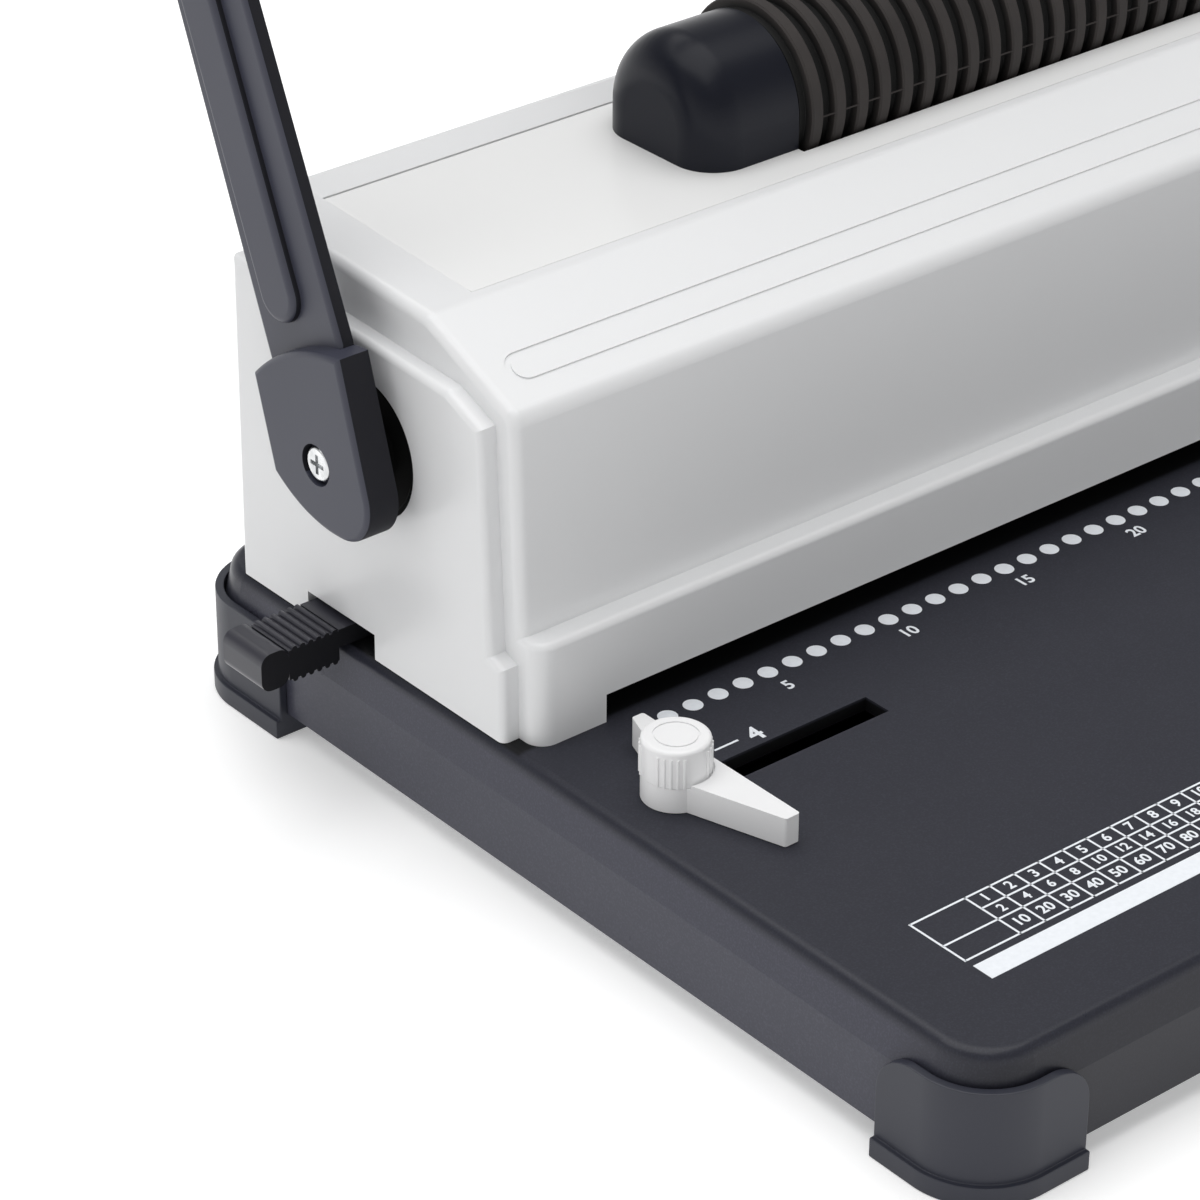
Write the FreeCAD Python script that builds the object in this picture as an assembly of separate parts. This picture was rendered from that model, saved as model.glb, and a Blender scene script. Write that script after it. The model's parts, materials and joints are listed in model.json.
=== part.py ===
"""Punch-and-bind office machine: a dark base, a white punch housing and a pull-down handle.

Millimetres, +Z up, +X to the right along the row of holes, +Y to the rear.
Pieces are drawn with Y = 0 on the printed row of hole marks and are moved along Y when they are saved,
so that the origin is the middle of the whole machine, on the surface it stands on.
"""
import FreeCAD, Part
import math
import os

V = FreeCAD.Vector

# Hole pattern
HOLE_PITCH = 6.25
HOLE_COUNT = 46
PUNCH_RADIUS = 2.0
PUNCH_CLEARANCE = 0.25
DIE_LINE_Y = 38.0

# General clearances
RUNNING_CLEARANCE = 0.05
FREE_CLEARANCE = 0.3

# Base
BASE_WIDTH = 346.5
BASE_FRONT_Y = -119.8
BASE_REAR_Y = 107.0
BASE_HEIGHT = 24.0
BASE_WALL = 2.5
BASE_TOP_THICKNESS = 3.0
BASE_CORNER_RADIUS = 13.0
BASE_EDGE_RADIUS = 2.6
BASE_LEAN_HEIGHT = 9.0
BASE_LEAN_INSET = 1.9
BOTTOM_PLATE_THICKNESS = 2.0

# Corner feet
FOOT_PAD_HEIGHT = 5.0
BASE_BOSS_RADIUS = 4.0
BASE_SCREW_LENGTH = 12.0
BASE_SCREW_HEAD = 1.6
FOOT_REACH_FRONT = 24.0
FOOT_REACH_REAR = 29.5
FOOT_WALL = 1.8
FOOT_WALL_TOP_BELOW_TABLE = 6.0
FOOT_FLANGE_PROUD = 1.0
FOOT_FLANGE_HEIGHT = 4.0
FOOT_END_RADIUS = 8.5

# White housing
COVER_END_INSET = 6.15
COVER_WALL = 2.5
SKIRT_FRONT_Y = 5.6
LEDGE_Y = 10.6
LEDGE_HEIGHT = 21.8
LEDGE_EDGE_RADIUS = 1.5
FRONT_TOP_Y = 12.5
FRONT_TOP_HEIGHT = 66.5
BEVEL_TOP_Y = 38.0
BEVEL_TOP_HEIGHT = 77.4
COVER_REAR_Y = 95.0
COVER_REAR_HEIGHT = 80.1
COVER_EDGE_RADIUS = 3.6
COVER_END_RADIUS = 2.2
SKIRT_CORNER_RADIUS = 4.0
RIM_CREST_WIDTH = 0.8
PAPER_SLOT_WIDTH = 301.8
PAPER_SLOT_HEIGHT = 6.0
GROOVE_LOW_Y = 18.0
GROOVE_HIGH_Y = 25.2
GROOVE_END_INSET = 6.1
GROOVE_WIDTH = 1.3
GROOVE_DEPTH = 0.3

# Deck that carries the roller
DECK_END_INSET = 12.4
DECK_REAR_Y = 90.0
DECK_THICKNESS = 2.5
DECK_HEIGHT = 77.5
DECK_FRONT_LIP = 2.2
DECK_REAR_GAP = 0.7

# Side panels, with their outline as places along Y and heights above the table
PANEL_OUTLINE = [(11.5, 0), (11.7, 15.8), (15.4, 17.1), (17.7, 63.4), (27.5, 67.5), (56.1, 68.6),
                 (94.0, 69.8), (94.6, 0)]
PANEL_THICKNESS = 3.8
PANEL_EDGE_RADIUS = 1.5
PANEL_HOLE_RADIUS = 14.4
NOTCH_FRONT_Y = 51.0
NOTCH_REAR_Y = 72.5
NOTCH_HEIGHT = 5.5

# Steel frame
FRAME_GAP = 0.6
FRAME_THICKNESS = 3.0
FRAME_FRONT_Y = 15.5
FRAME_REAR_Y = 89.0
FRAME_FRONT_HEIGHT = 62.0
FRAME_SHOULDER_Y = 44.0
FRAME_FOOT_LENGTH = 9.5
FRAME_FRONT_FOOT_WIDTH = 9.0
FRAME_REAR_FOOT_WIDTH = 15.0
FRAME_FOOT_THICKNESS = 3.0
DIE_HALF_LENGTH = 148.0
DIE_HALF_WIDTH = 10.0
DIE_THICKNESS = 6.0
DIE_FLANGE = 4.0
THROAT_HEIGHT = 5.0
GUIDE_PLATE_THICKNESS = 6.0
GUIDE_PLATE_HALF_WIDTH = 13.0
TIE_BAR_SIZE = 6.0
TIE_BAR_HEIGHT = 51.0
FRAME_SCREW_RADIUS = 1.6
FRAME_SCREW_HEAD = 3.2
FRAME_SCREW_HEAD_HEIGHT = 2.0
SCREW_CLEARANCE = 0.1

# Handle and drive
SHAFT_Y = 52.0
SHAFT_HEIGHT = 46.0
SHAFT_RADIUS = 5.0
BUSH_WALL = 2.5
BUSH_FLANGE = 2.0
BUSH_FLANGE_THICKNESS = 1.5
PINION_MODULE = 1.0
PINION_TEETH = 17
PINION_WIDTH = 7.0
PRESSURE_ANGLE = 20.0
TOOTH_BACKLASH = 0.3
ARM_LEAN = 23.0
HUB_LEAN = 17.0
HUB_PROUD = 11.7
HUB_FRONT_SIDE = 14.4
HUB_REAR_SIDE = 15.1
HUB_TOP_REAR = 16.8
HUB_TOP_CROWN = 22.2
HUB_TOP_FRONT = 21.4
HUB_CROWN_OFFSET = -3.4
HUB_LOW_FRONT = -5.0
HUB_LOW_REAR = -2.6
HUB_TOE = (-12.3, -11.3)
HUB_SOLE = (-3.5, -14.5)
HUB_HEEL = (6.8, -10.4)
HUB_GAP = 4.5
HUB_EDGE_RADIUS = 1.2
ARM_PROUD = 7.7
ARM_THICKNESS = 3.2
ARM_FOOT_RADIUS = 10.5
ARM_WIDE_AT = 22.0
ARM_WIDTH_LOW = 25.2
ARM_WIDTH_HIGH = 20.5
ARM_LENGTH = 190.0
ARM_RIB_WIDTH = 11.4
ARM_RIB_START = 26.5
ARM_RIB_OFFSET = 1.6
ARM_TOP_PLAIN = 24.0
ARM_RIB_PROUD = 2.0
CROSSBAR_RADIUS = 7.0
GRIP_RADIUS = 13.0
GRIP_LENGTH = 240.0
GRIP_END_RADIUS = 3.0
HUB_SCREW_RADIUS = 3.5
HUB_SCREW_RECESS = 4.2
HUB_RECESS_DEPTH = 2.0
HUB_SCREW_LENGTH = 15.0
HUB_SCREW_HEAD_HEIGHT = 1.7
HUB_SCREW_HEAD_ROUND = 0.8
CROSS_SLOT_HALF = 2.0
CROSS_SLOT_WIDTH = 0.9
CROSS_SLOT_DEPTH = 1.0
SHAFT_BORE_DEPTH = 14.0
CROSSBAR_SCREW_DEPTH = 13.0

# Punch carriage
PIN_TIP_ABOVE_GUIDE = 0.8
CARRIAGE_ABOVE_TABLE = 24.0
PUNCH_BAR_HEIGHT = 8.0
PUNCH_BAR_HALF_WIDTH = 4.4
PIN_HEAD_RADIUS = 2.7
PIN_HEAD_HEIGHT = 1.5
CLAMP_BAR_HEIGHT = 6.0
PUNCH_BAR_HALF_LENGTH = 144.5
CLAMP_BAR_END_GAP = 3.0
RACK_INSET = 8.5
RACK_WIDTH = 7.0
RACK_BACK_Y = 36.0
RACK_TOP_ABOVE_SHAFT = 19.0
POST_INSET = 9.0
POST_Y = 30.0
POST_RADIUS = 3.0
POST_ABOVE_CLAMP = 1.5
EAR_HALF_WIDTH = 6.0
SPRING_WIRE_RADIUS = 0.6
SPRING_COIL_RADIUS = 4.2
SPRING_TURNS = 6

# Margin stop and its lever
STOP_TRAVEL = 7.0
STOP_FACE_Y = 48.0
STOP_SHEET = 1.5
STOP_HEIGHT = 4.0
STOP_FLANGE = 10.0
LEVER_Y0 = 58.5
LEVER_Y1 = 71.0
LEVER_TOP = 4.3
LEVER_PROUD = 18.95
LEVER_CAP_LENGTH = 6.5
LEVER_CAP_TOP = 5.0
LEVER_CAP_DROP = 3.2
LEVER_CAP_RADIUS = 2.4
LEVER_GRIP_DROP = 2.5
LEVER_RIB_PITCH = 1.9
LEVER_RIB_COUNT = 6
LEVER_RIB_RADIUS = 0.65
LEVER_ROOT_INSET = 1.0
STOP_LEG_INSET = 15.0
STOP_SCREW_X = 120.0
STOP_SCREW_Y = 54.0
STOP_TAB_WIDTH = 12.0
STOP_SCREW_HEAD_HEIGHT = 1.5
STOP_END_CLEARANCE = 4.0

# Edge guide
GUIDE_SLOT_FRONT_Y = -24.9
GUIDE_SLOT_REAR_Y = -18.4
GUIDE_SLOT_INSET = 10.65
GUIDE_SLOT_LENGTH = 55.4
GUIDE_INSET = 16.15
GUIDE_Y = -21.65
GUIDE_HUB_RADIUS = 6.5
GUIDE_HUB_HEIGHT = 5.2
GUIDE_ARM_TIP_Y = -47.5
GUIDE_ARM_TIP_WIDTH = 3.4
GUIDE_ARM_EDGE = 7.3
GUIDE_ARM_HEIGHT = 6.2
GUIDE_TAB_Y = -3.7
GUIDE_TAB_WIDTH = 2.7
GUIDE_EDGE_RADIUS = 0.6
GUIDE_SHOE_LENGTH = 18.0
GUIDE_SHOE_WIDTH = 14.0
GUIDE_SHOE_THICKNESS = 3.0
GUIDE_SHOE_OFFSET = 5.0
GUIDE_KEY_LENGTH = 6.0
KNOB_RADIUS = 6.85
KNOB_HEIGHT = 7.6
KNOB_EDGE_RADIUS = 0.8
KNOB_RING_RADIUS = 4.4
KNOB_RING_WIDTH = 0.4
KNOB_RING_DEPTH = 0.25
KNOB_ROOF = 1.5
KNOB_RIB_GROUPS = 4
KNOB_GROUP_RIBS = 5
KNOB_GROUP_TURN = 42.0
KNOB_RIB_PITCH = 11.0
KNOB_RIB_RADIUS = 0.28
STUD_RADIUS = 2.0
STUD_HEAD_HEIGHT = 1.5

# Chip tray
TRAY_LEFT_INSET = 9.0
TRAY_FRONT_Y = 16.0
TRAY_REAR_Y = 70.0
TRAY_HEIGHT = 13.0
TRAY_WALL = 1.6
TRAY_FRONT_THICKNESS = 2.5
TRAY_FRONT_LAP = 2.0
TRAY_PULL_WIDTH = 30.0
TRAY_PULL_THICKNESS = 4.0

# Roller and its drive
ROLLER_Y = 66.6
ROLLER_ABOVE_DECK = 6.0
ROLLER_RADIUS = 19.0
ROLLER_GROOVE_DEPTH = 1.8
ROLLER_RIBS = 22
ROLLER_RIB_PITCH = 6.0
ROLLER_RIB_WIDTH = 3.4
ROLLER_SLOT_CLEARANCE = 0.8
ROLLER_SLEEVE_THICKNESS = 4.0
AXLE_RADIUS = 4.0
ROLLER_BUSH_RADIUS = 5.2
BRACKET_THICKNESS = 3.0
BRACKET_HALF_WIDTH = 10.0
BRACKET_INSET = 5.0
CAP_LENGTH = 23.5
CAP_HALF_WIDTH = 17.2
CAP_WALL = 2.0
CAP_END_RADIUS = 9.0
CAP_GAP = 0.5
PULLEY_RADIUS = 9.0
MOTOR_PULLEY_RADIUS = 5.0
PULLEY_WIDTH = 5.0
PULLEY_RIM = 0.8
PULLEY_INSET = 12.0
BELT_SLOT_CLEARANCE = 2.0
BELT_THICKNESS = 1.2
MOTOR_Y = 77.0
MOTOR_HEIGHT = 24.0
MOTOR_RADIUS = 12.0
MOTOR_LENGTH = 46.0
MOTOR_SHAFT_RADIUS = 1.5
MOTOR_SHAFT_DEPTH = 12.0
MOTOR_EDGE_RADIUS = 1.5
MOTOR_TO_PULLEY = 3.0
SHAFT_END = 1.0

# Switch and inlet on the rear wall
SWITCH_X = 96.0
SWITCH_HEIGHT = 24.0
SWITCH_WIDTH = 12.0
SWITCH_TALL = 19.0
SWITCH_DEPTH = 13.0
SWITCH_BEZEL = 1.5
SWITCH_TILT = 8.0
SWITCH_WELL_CLEARANCE = 1.5
SWITCH_FLOOR = 2.0
BEZEL_EDGE_RADIUS = 0.7
ROCKER_HALF_WIDTH = 4.4
ROCKER_HALF_TALL = 6.2
ROCKER_PIVOT_DEPTH = 3.5
ROCKER_PIN_RADIUS = 1.0
ROCKER_DISH = 0.9
ROCKER_BACK_DEPTH = 2.5
ROCKER_BACK_TAPER = 2.0
INLET_X = 128.0
INLET_HEIGHT = 24.0
INLET_WIDTH = 24.0
INLET_TALL = 16.0
INLET_DEPTH = 14.0
INLET_SOCKET_RADIUS = 4.4
INLET_SOCKET_DEPTH = 10.0
INLET_PIN_RADIUS = 1.2
INLET_PIN_SPACING = 8.6
INLET_PIN_BELOW_RIM = 1.5

# Places that follow from the sizes above
TABLE_Z = FOOT_PAD_HEIGHT + BASE_HEIGHT
BASE_BOTTOM_Z = FOOT_PAD_HEIGHT
COVER_X = BASE_WIDTH / 2 - COVER_END_INSET
PANEL_X = COVER_X + PANEL_THICKNESS
DECK_X = COVER_X - DECK_END_INSET
FRAME_INNER_X = COVER_X - COVER_WALL - FRAME_GAP - FRAME_THICKNESS
HUB_OUTER_X = PANEL_X + HUB_PROUD
ARM_OUTER_X = PANEL_X + ARM_PROUD
RACK_X = FRAME_INNER_X - RACK_INSET
POST_X = FRAME_INNER_X - POST_INSET
CLAMP_BAR_HALF_LENGTH = FRAME_INNER_X - CLAMP_BAR_END_GAP
LEVER_END_X = BASE_WIDTH / 2 + LEVER_PROUD
LEVER_ROOT_X = FRAME_INNER_X - LEVER_ROOT_INSET
STOP_LEG_X = FRAME_INNER_X - STOP_LEG_INSET
GUIDE_X = -BASE_WIDTH / 2 + GUIDE_INSET
GUIDE_SLOT_LEFT_X = -BASE_WIDTH / 2 + GUIDE_SLOT_INSET
GUIDE_SLOT_RIGHT_X = GUIDE_SLOT_LEFT_X + GUIDE_SLOT_LENGTH
TRAY_LEFT_X = -FRAME_INNER_X + TRAY_LEFT_INSET
SHAFT_Z = TABLE_Z + SHAFT_HEIGHT
PITCH_RADIUS = PINION_MODULE * PINION_TEETH / 2
GUIDE_PLATE_Z = TABLE_Z + THROAT_HEIGHT
GUIDE_PLATE_TOP_Z = GUIDE_PLATE_Z + GUIDE_PLATE_THICKNESS
PUNCH_BAR_Z = TABLE_Z + CARRIAGE_ABOVE_TABLE
CLAMP_BAR_Z = PUNCH_BAR_Z + PUNCH_BAR_HEIGHT + PIN_HEAD_HEIGHT
CLAMP_BAR_TOP_Z = CLAMP_BAR_Z + CLAMP_BAR_HEIGHT
DECK_Z = TABLE_Z + DECK_HEIGHT
DECK_FLANGE_Z = DECK_Z - 2 * DECK_THICKNESS
ROLLER_Z = DECK_Z + ROLLER_ABOVE_DECK
ROLLER_HALF = ROLLER_RIBS * ROLLER_RIB_PITCH / 2
ROLLER_GROOVE_RADIUS = ROLLER_RADIUS - ROLLER_GROOVE_DEPTH
ROLLER_CORE_RADIUS = ROLLER_RADIUS - ROLLER_SLEEVE_THICKNESS
MOTOR_Z = TABLE_Z + MOTOR_HEIGHT
CAP_INNER_X = ROLLER_HALF + CAP_GAP
BRACKET_X = CAP_INNER_X + BRACKET_INSET
PULLEY_X = CAP_INNER_X + PULLEY_INSET
MOTOR_FACE_X = PULLEY_X - MOTOR_TO_PULLEY - BRACKET_THICKNESS
TRAY_Z = BASE_BOTTOM_Z + BOTTOM_PLATE_THICKNESS + FREE_CLEARANCE
RACK_PITCH_Y = SHAFT_Y - PITCH_RADIUS
FRAME_FOOT_X = FRAME_INNER_X - FRAME_FOOT_LENGTH / 2
FRAME_SCREW_YS = (FRAME_FRONT_Y + 4.5, FRAME_REAR_Y - 7.5)
BASE_SCREW_XS = (-BASE_WIDTH / 4, 0, BASE_WIDTH / 4)
BASE_SCREW_YS = (BASE_FRONT_Y + 3 * BASE_WALL, BASE_REAR_Y - 3 * BASE_WALL)
CROSSBAR_Y = SHAFT_Y + ARM_LENGTH * math.sin(math.radians(ARM_LEAN))
CROSSBAR_Z = SHAFT_Z + ARM_LENGTH * math.cos(math.radians(ARM_LEAN))
MACHINE_FRONT_Y = BASE_FRONT_Y - FOOT_WALL - FOOT_FLANGE_PROUD
MACHINE_REAR_Y = CROSSBAR_Y + GRIP_RADIUS
ROW_SHIFT_Y = -(MACHINE_FRONT_Y + MACHINE_REAR_Y) / 2
HOLE_XS = [(i - (HOLE_COUNT - 1) / 2) * HOLE_PITCH for i in range(HOLE_COUNT)]

AXIS = {"x": V(1, 0, 0), "y": V(0, 1, 0), "z": V(0, 0, 1)}
SAVED = {}


def save(name, *solids):
    """Write one node, moved into the machine's own frame."""
    shape = solids[0] if len(solids) == 1 else Part.makeCompound(list(solids))
    shape = shape.copy()
    shape.translate(V(0, ROW_SHIFT_Y, 0))
    shape.exportStep("parts/" + name + ".step")
    SAVED[name] = shape


def box(x, y, z):
    """Block between the low and high value of each axis."""
    corner = V(min(x), min(y), min(z))
    return Part.makeBox(abs(x[1] - x[0]), abs(y[1] - y[0]), abs(z[1] - z[0]), corner)


def rod(axis, start, radius, length):
    """Round bar from a start point along one axis."""
    return Part.makeCylinder(radius, length, V(*start), AXIS[axis])


def tube(axis, start, outer, inner, length):
    return rod(axis, start, outer, length).cut(rod(axis, start, inner, length))


def prism(points, push):
    """Closed flat outline pushed along a vector."""
    loop = Part.makePolygon([V(*p) for p in points] + [V(*points[0])])
    return Part.Face(loop).extrude(V(*push))


def profile_x(points, x0, x1):
    """Outline in Y and Z pushed from x0 to x1."""
    return prism([(x0, y, z) for y, z in points], (x1 - x0, 0, 0))


def stadium(axis, centre_a, centre_b, radius, depth):
    """Bar with two round ends between two points, pushed along an axis."""
    a = V(*centre_a)
    b = V(*centre_b)
    push = AXIS[axis] * depth
    side = (b - a).cross(push)
    side.normalize()
    side = side * radius
    strip = prism([tuple(a + side), tuple(b + side), tuple(b - side), tuple(a - side)], tuple(push))
    ends = [Part.makeCylinder(radius, depth, p, AXIS[axis]) for p in (a, b)]
    return strip.fuse(ends).removeSplitter()


def mirrored(shape):
    """The same piece on the other side of the machine."""
    return shape.mirror(V(0, 0, 0), V(1, 0, 0))


def edges_along(shape, axis, test=None):
    """Straight edges parallel to an axis, picked by their middle point."""
    found = []
    for edge in shape.Edges:
        if len(edge.Vertexes) != 2 or edge.Curve.TypeId != "Part::GeomLine":
            continue
        run = edge.Vertexes[1].Point - edge.Vertexes[0].Point
        if abs(abs(run.normalize().dot(AXIS[axis])) - 1) < 1e-6:
            if test is None or test(edge.CenterOfMass):
                found.append(edge)
    return found


def face_edges(shape, axis, value):
    """Edges of the flat face that lies at one value of an axis."""
    for face in shape.Faces:
        flat = abs(abs(face.normalAt(0, 0).dot(AXIS[axis])) - 1) < 1e-6
        if flat and abs(face.CenterOfMass.dot(AXIS[axis]) - value) < 1e-6:
            return face.OuterWire.Edges
    return []


def rounded_block(x, y, z, corner_radius):
    """Block with its upright edges rounded."""
    block = box(x, y, z)
    return block.makeFillet(corner_radius, edges_along(block, "z"))


def cap_screw(axis, start, shank_radius, shank_length, head_radius, head_height, sign=1):
    """Round-headed screw: the shank runs from the start point, the head sits at its end."""
    direction = AXIS[axis] * sign
    shank = Part.makeCylinder(shank_radius, shank_length, V(*start), direction)
    head = Part.makeCylinder(head_radius, head_height, V(*start) + direction * shank_length, direction)
    return shank.fuse(head).removeSplitter()


# Base

def base_ring(proud, z0, z1):
    """The base's outline, grown by an amount, between two heights."""
    half = BASE_WIDTH / 2 + proud
    return rounded_block((-half, half), (BASE_FRONT_Y - proud, BASE_REAR_Y + proud), (z0, z1),
                         BASE_CORNER_RADIUS + proud)


def base_block():
    """Solid of the base: upright below, leaning in towards a rolled edge round the table."""
    lean_z = TABLE_Z - BASE_LEAN_HEIGHT
    lower = base_ring(0, BASE_BOTTOM_Z, lean_z)
    top = base_ring(-BASE_LEAN_INSET, lean_z, TABLE_Z)
    wires = [Part.Wire(face_edges(lower, "z", lean_z)), Part.Wire(face_edges(top, "z", TABLE_Z))]
    block = lower.fuse(Part.makeLoft(wires, True, True)).removeSplitter()
    return block.makeFillet(BASE_EDGE_RADIUS, face_edges(block, "z", TABLE_Z))


def base_shell():
    outer = base_block()
    cavity = rounded_block((-BASE_WIDTH / 2 + BASE_WALL, BASE_WIDTH / 2 - BASE_WALL),
                           (BASE_FRONT_Y + BASE_WALL, BASE_REAR_Y - BASE_WALL),
                           (BASE_BOTTOM_Z, TABLE_Z - BASE_TOP_THICKNESS), BASE_CORNER_RADIUS - BASE_WALL)
    window_x = DIE_HALF_LENGTH + FREE_CLEARANCE
    window_y = DIE_HALF_WIDTH + FREE_CLEARANCE
    window = box((-window_x, window_x), (DIE_LINE_Y - window_y, DIE_LINE_Y + window_y),
                 (TABLE_Z - BASE_TOP_THICKNESS, TABLE_Z))
    slot = box((GUIDE_SLOT_LEFT_X, GUIDE_SLOT_RIGHT_X), (GUIDE_SLOT_FRONT_Y, GUIDE_SLOT_REAR_Y),
               (TABLE_Z - BASE_TOP_THICKNESS, TABLE_Z))
    mouth = box((BASE_WIDTH / 2 - BASE_WALL, BASE_WIDTH / 2),
                (TRAY_FRONT_Y - FREE_CLEARANCE, TRAY_REAR_Y + FREE_CLEARANCE),
                (TRAY_Z - FREE_CLEARANCE, TRAY_Z + TRAY_HEIGHT + FREE_CLEARANCE))
    shell = outer.cut([cavity, window, slot, mouth])
    boss_z = BASE_BOTTOM_Z + BOTTOM_PLATE_THICKNESS
    spots = [(x, y) for x in BASE_SCREW_XS for y in BASE_SCREW_YS]
    bosses = [rod("z", (x, y, boss_z), BASE_BOSS_RADIUS, TABLE_Z - BASE_TOP_THICKNESS - boss_z)
              for x, y in spots]
    bores = [rod("z", (x, y, boss_z), FRAME_SCREW_RADIUS + SCREW_CLEARANCE, BASE_SCREW_LENGTH)
             for x, y in spots]
    return shell.fuse(bosses).removeSplitter().cut(bores + frame_screw_holes())


def bottom_plate():
    inset = BASE_WALL + FREE_CLEARANCE / 3
    plate = rounded_block((-BASE_WIDTH / 2 + inset, BASE_WIDTH / 2 - inset),
                          (BASE_FRONT_Y + inset, BASE_REAR_Y - inset),
                          (BASE_BOTTOM_Z, BASE_BOTTOM_Z + BOTTOM_PLATE_THICKNESS),
                          BASE_CORNER_RADIUS - inset)
    return plate.cut([rod("z", (x, y, BASE_BOTTOM_Z), FRAME_SCREW_RADIUS + SCREW_CLEARANCE,
                          BOTTOM_PLATE_THICKNESS) for x in BASE_SCREW_XS for y in BASE_SCREW_YS])


def corner_foot(right, rear):
    """Foot that wraps one corner of the base: pad, outward flange and a wall with rounded ends."""
    wall_top = TABLE_Z - FOOT_WALL_TOP_BELOW_TABLE
    proud = FOOT_WALL + FOOT_FLANGE_PROUD
    wall = base_ring(FOOT_WALL, BASE_BOTTOM_Z, wall_top).cut(base_ring(0, BASE_BOTTOM_Z, wall_top))
    pad = base_ring(FOOT_WALL, 0, BASE_BOTTOM_Z).fuse(base_ring(proud, 0, FOOT_FLANGE_HEIGHT))
    reach = FOOT_REACH_REAR if rear else FOOT_REACH_FRONT
    edge_y = BASE_REAR_Y if rear else -BASE_FRONT_Y
    end_x = BASE_WIDTH / 2 - reach
    end_y = edge_y - reach
    far_y = edge_y + proud
    side_x = 1 if right else -1
    side_y = 1 if rear else -1
    corner = box((side_x * end_x, side_x * (BASE_WIDTH / 2 + proud)), (side_y * end_y, side_y * far_y),
                 (0, wall_top))
    foot = wall.fuse(pad).common(corner)
    radius = FOOT_END_RADIUS
    low = wall_top - radius
    wide = BASE_WIDTH
    cut_x = box((side_x * end_x, side_x * (end_x + radius)), (-wide, wide), (low, wall_top))
    cut_x = cut_x.cut(rod("y", (side_x * (end_x + radius), -wide, low), radius, 2 * wide))
    cut_x = cut_x.common(box((-wide, wide), (side_y * edge_y, side_y * far_y), (0, TABLE_Z)))
    cut_y = box((-wide, wide), (side_y * end_y, side_y * (end_y + radius)), (low, wall_top))
    cut_y = cut_y.cut(rod("x", (-wide, side_y * (end_y + radius), low), radius, 2 * wide))
    cut_y = cut_y.common(box((side_x * BASE_WIDTH / 2, side_x * wide), (-wide, wide), (0, TABLE_Z)))
    return foot.cut([cut_x, cut_y]).removeSplitter()


def base_screws():
    """Screws from below, through the bottom plate into the base's bosses."""
    length = BOTTOM_PLATE_THICKNESS + BASE_SCREW_LENGTH - FREE_CLEARANCE
    return [cap_screw("z", (x, y, BASE_BOTTOM_Z + length), FRAME_SCREW_RADIUS, length, FRAME_SCREW_HEAD,
                      BASE_SCREW_HEAD, -1) for x in BASE_SCREW_XS for y in BASE_SCREW_YS]


def frame_screw_holes():
    radius = FRAME_SCREW_RADIUS + SCREW_CLEARANCE
    z = TABLE_Z - BASE_TOP_THICKNESS
    height = BASE_TOP_THICKNESS + FRAME_FOOT_THICKNESS
    return [rod("z", (x, y, z), radius, height)
            for x in (-FRAME_FOOT_X, FRAME_FOOT_X) for y in FRAME_SCREW_YS]


# White housing

def cover_profile(inset):
    """Side outline of the upper housing, drawn smaller by an inset."""
    slope_front = (FRONT_TOP_Y - LEDGE_Y) / (FRONT_TOP_HEIGHT - LEDGE_HEIGHT)
    foot_y = LEDGE_Y - slope_front * LEDGE_HEIGHT
    points = [(foot_y + inset, 0), (FRONT_TOP_Y + inset, FRONT_TOP_HEIGHT - inset),
              (BEVEL_TOP_Y + inset / 4, BEVEL_TOP_HEIGHT - inset),
              (COVER_REAR_Y - inset, COVER_REAR_HEIGHT - inset), (COVER_REAR_Y - inset, 0)]
    return [(y, TABLE_Z + z) for y, z in points]


def skirt_profile(inset):
    """Side outline of the stepped skirt round the paper slot."""
    back = LEDGE_Y + 2 * COVER_WALL
    top = LEDGE_HEIGHT - inset
    points = [(SKIRT_FRONT_Y + inset, 0), (SKIRT_FRONT_Y + inset, top), (back, top), (back, 0)]
    return [(y, TABLE_Z + z) for y, z in points]


def rounded_housing():
    """Outer form of the housing with its soft edges, before it is hollowed."""
    upper = profile_x(cover_profile(0), -COVER_X, COVER_X)
    front = edges_along(upper, "x", lambda c: c.z > TABLE_Z + COVER_WALL and c.y < DECK_REAR_Y)
    upper = upper.makeFillet(COVER_EDGE_RADIUS, front)
    ends = [e for x in (-COVER_X, COVER_X) for e in face_edges(upper, "x", x)]
    ends = [e for e in ends if e.CenterOfMass.z > TABLE_Z + COVER_WALL]
    upper = upper.makeFillet(COVER_END_RADIUS, ends)
    skirt = profile_x(skirt_profile(0), -COVER_X, COVER_X)
    corners = edges_along(skirt, "z", lambda c: c.y < LEDGE_Y)
    skirt = skirt.makeFillet(SKIRT_CORNER_RADIUS, corners)
    rim = [e for e in face_edges(skirt, "z", TABLE_Z + LEDGE_HEIGHT) if e.CenterOfMass.y < LEDGE_Y]
    skirt = skirt.makeFillet(LEDGE_EDGE_RADIUS, rim)
    return upper.fuse(skirt).removeSplitter()


def deck_opening(grow, z0, z1):
    half = DECK_X + grow
    return box((-half, half), (BEVEL_TOP_Y + DECK_FRONT_LIP - grow, DECK_REAR_Y + grow), (z0, z1))


def rim_slope():
    """Wedge above the rear edge of the deck, which gives the rim its sloping inner face."""
    top_z = TABLE_Z + COVER_REAR_HEIGHT
    outline = [(DECK_REAR_Y, DECK_Z), (COVER_REAR_Y - RIM_CREST_WIDTH, top_z), (DECK_REAR_Y, top_z)]
    return profile_x(outline, -DECK_X, DECK_X)


def shaft_hole(radius):
    return rod("x", (-HUB_OUTER_X, SHAFT_Y, SHAFT_Z), radius, 2 * HUB_OUTER_X)


def lever_notch(x0, x1):
    return box((x0, x1), (NOTCH_FRONT_Y, NOTCH_REAR_Y), (TABLE_Z, TABLE_Z + NOTCH_HEIGHT))


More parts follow.
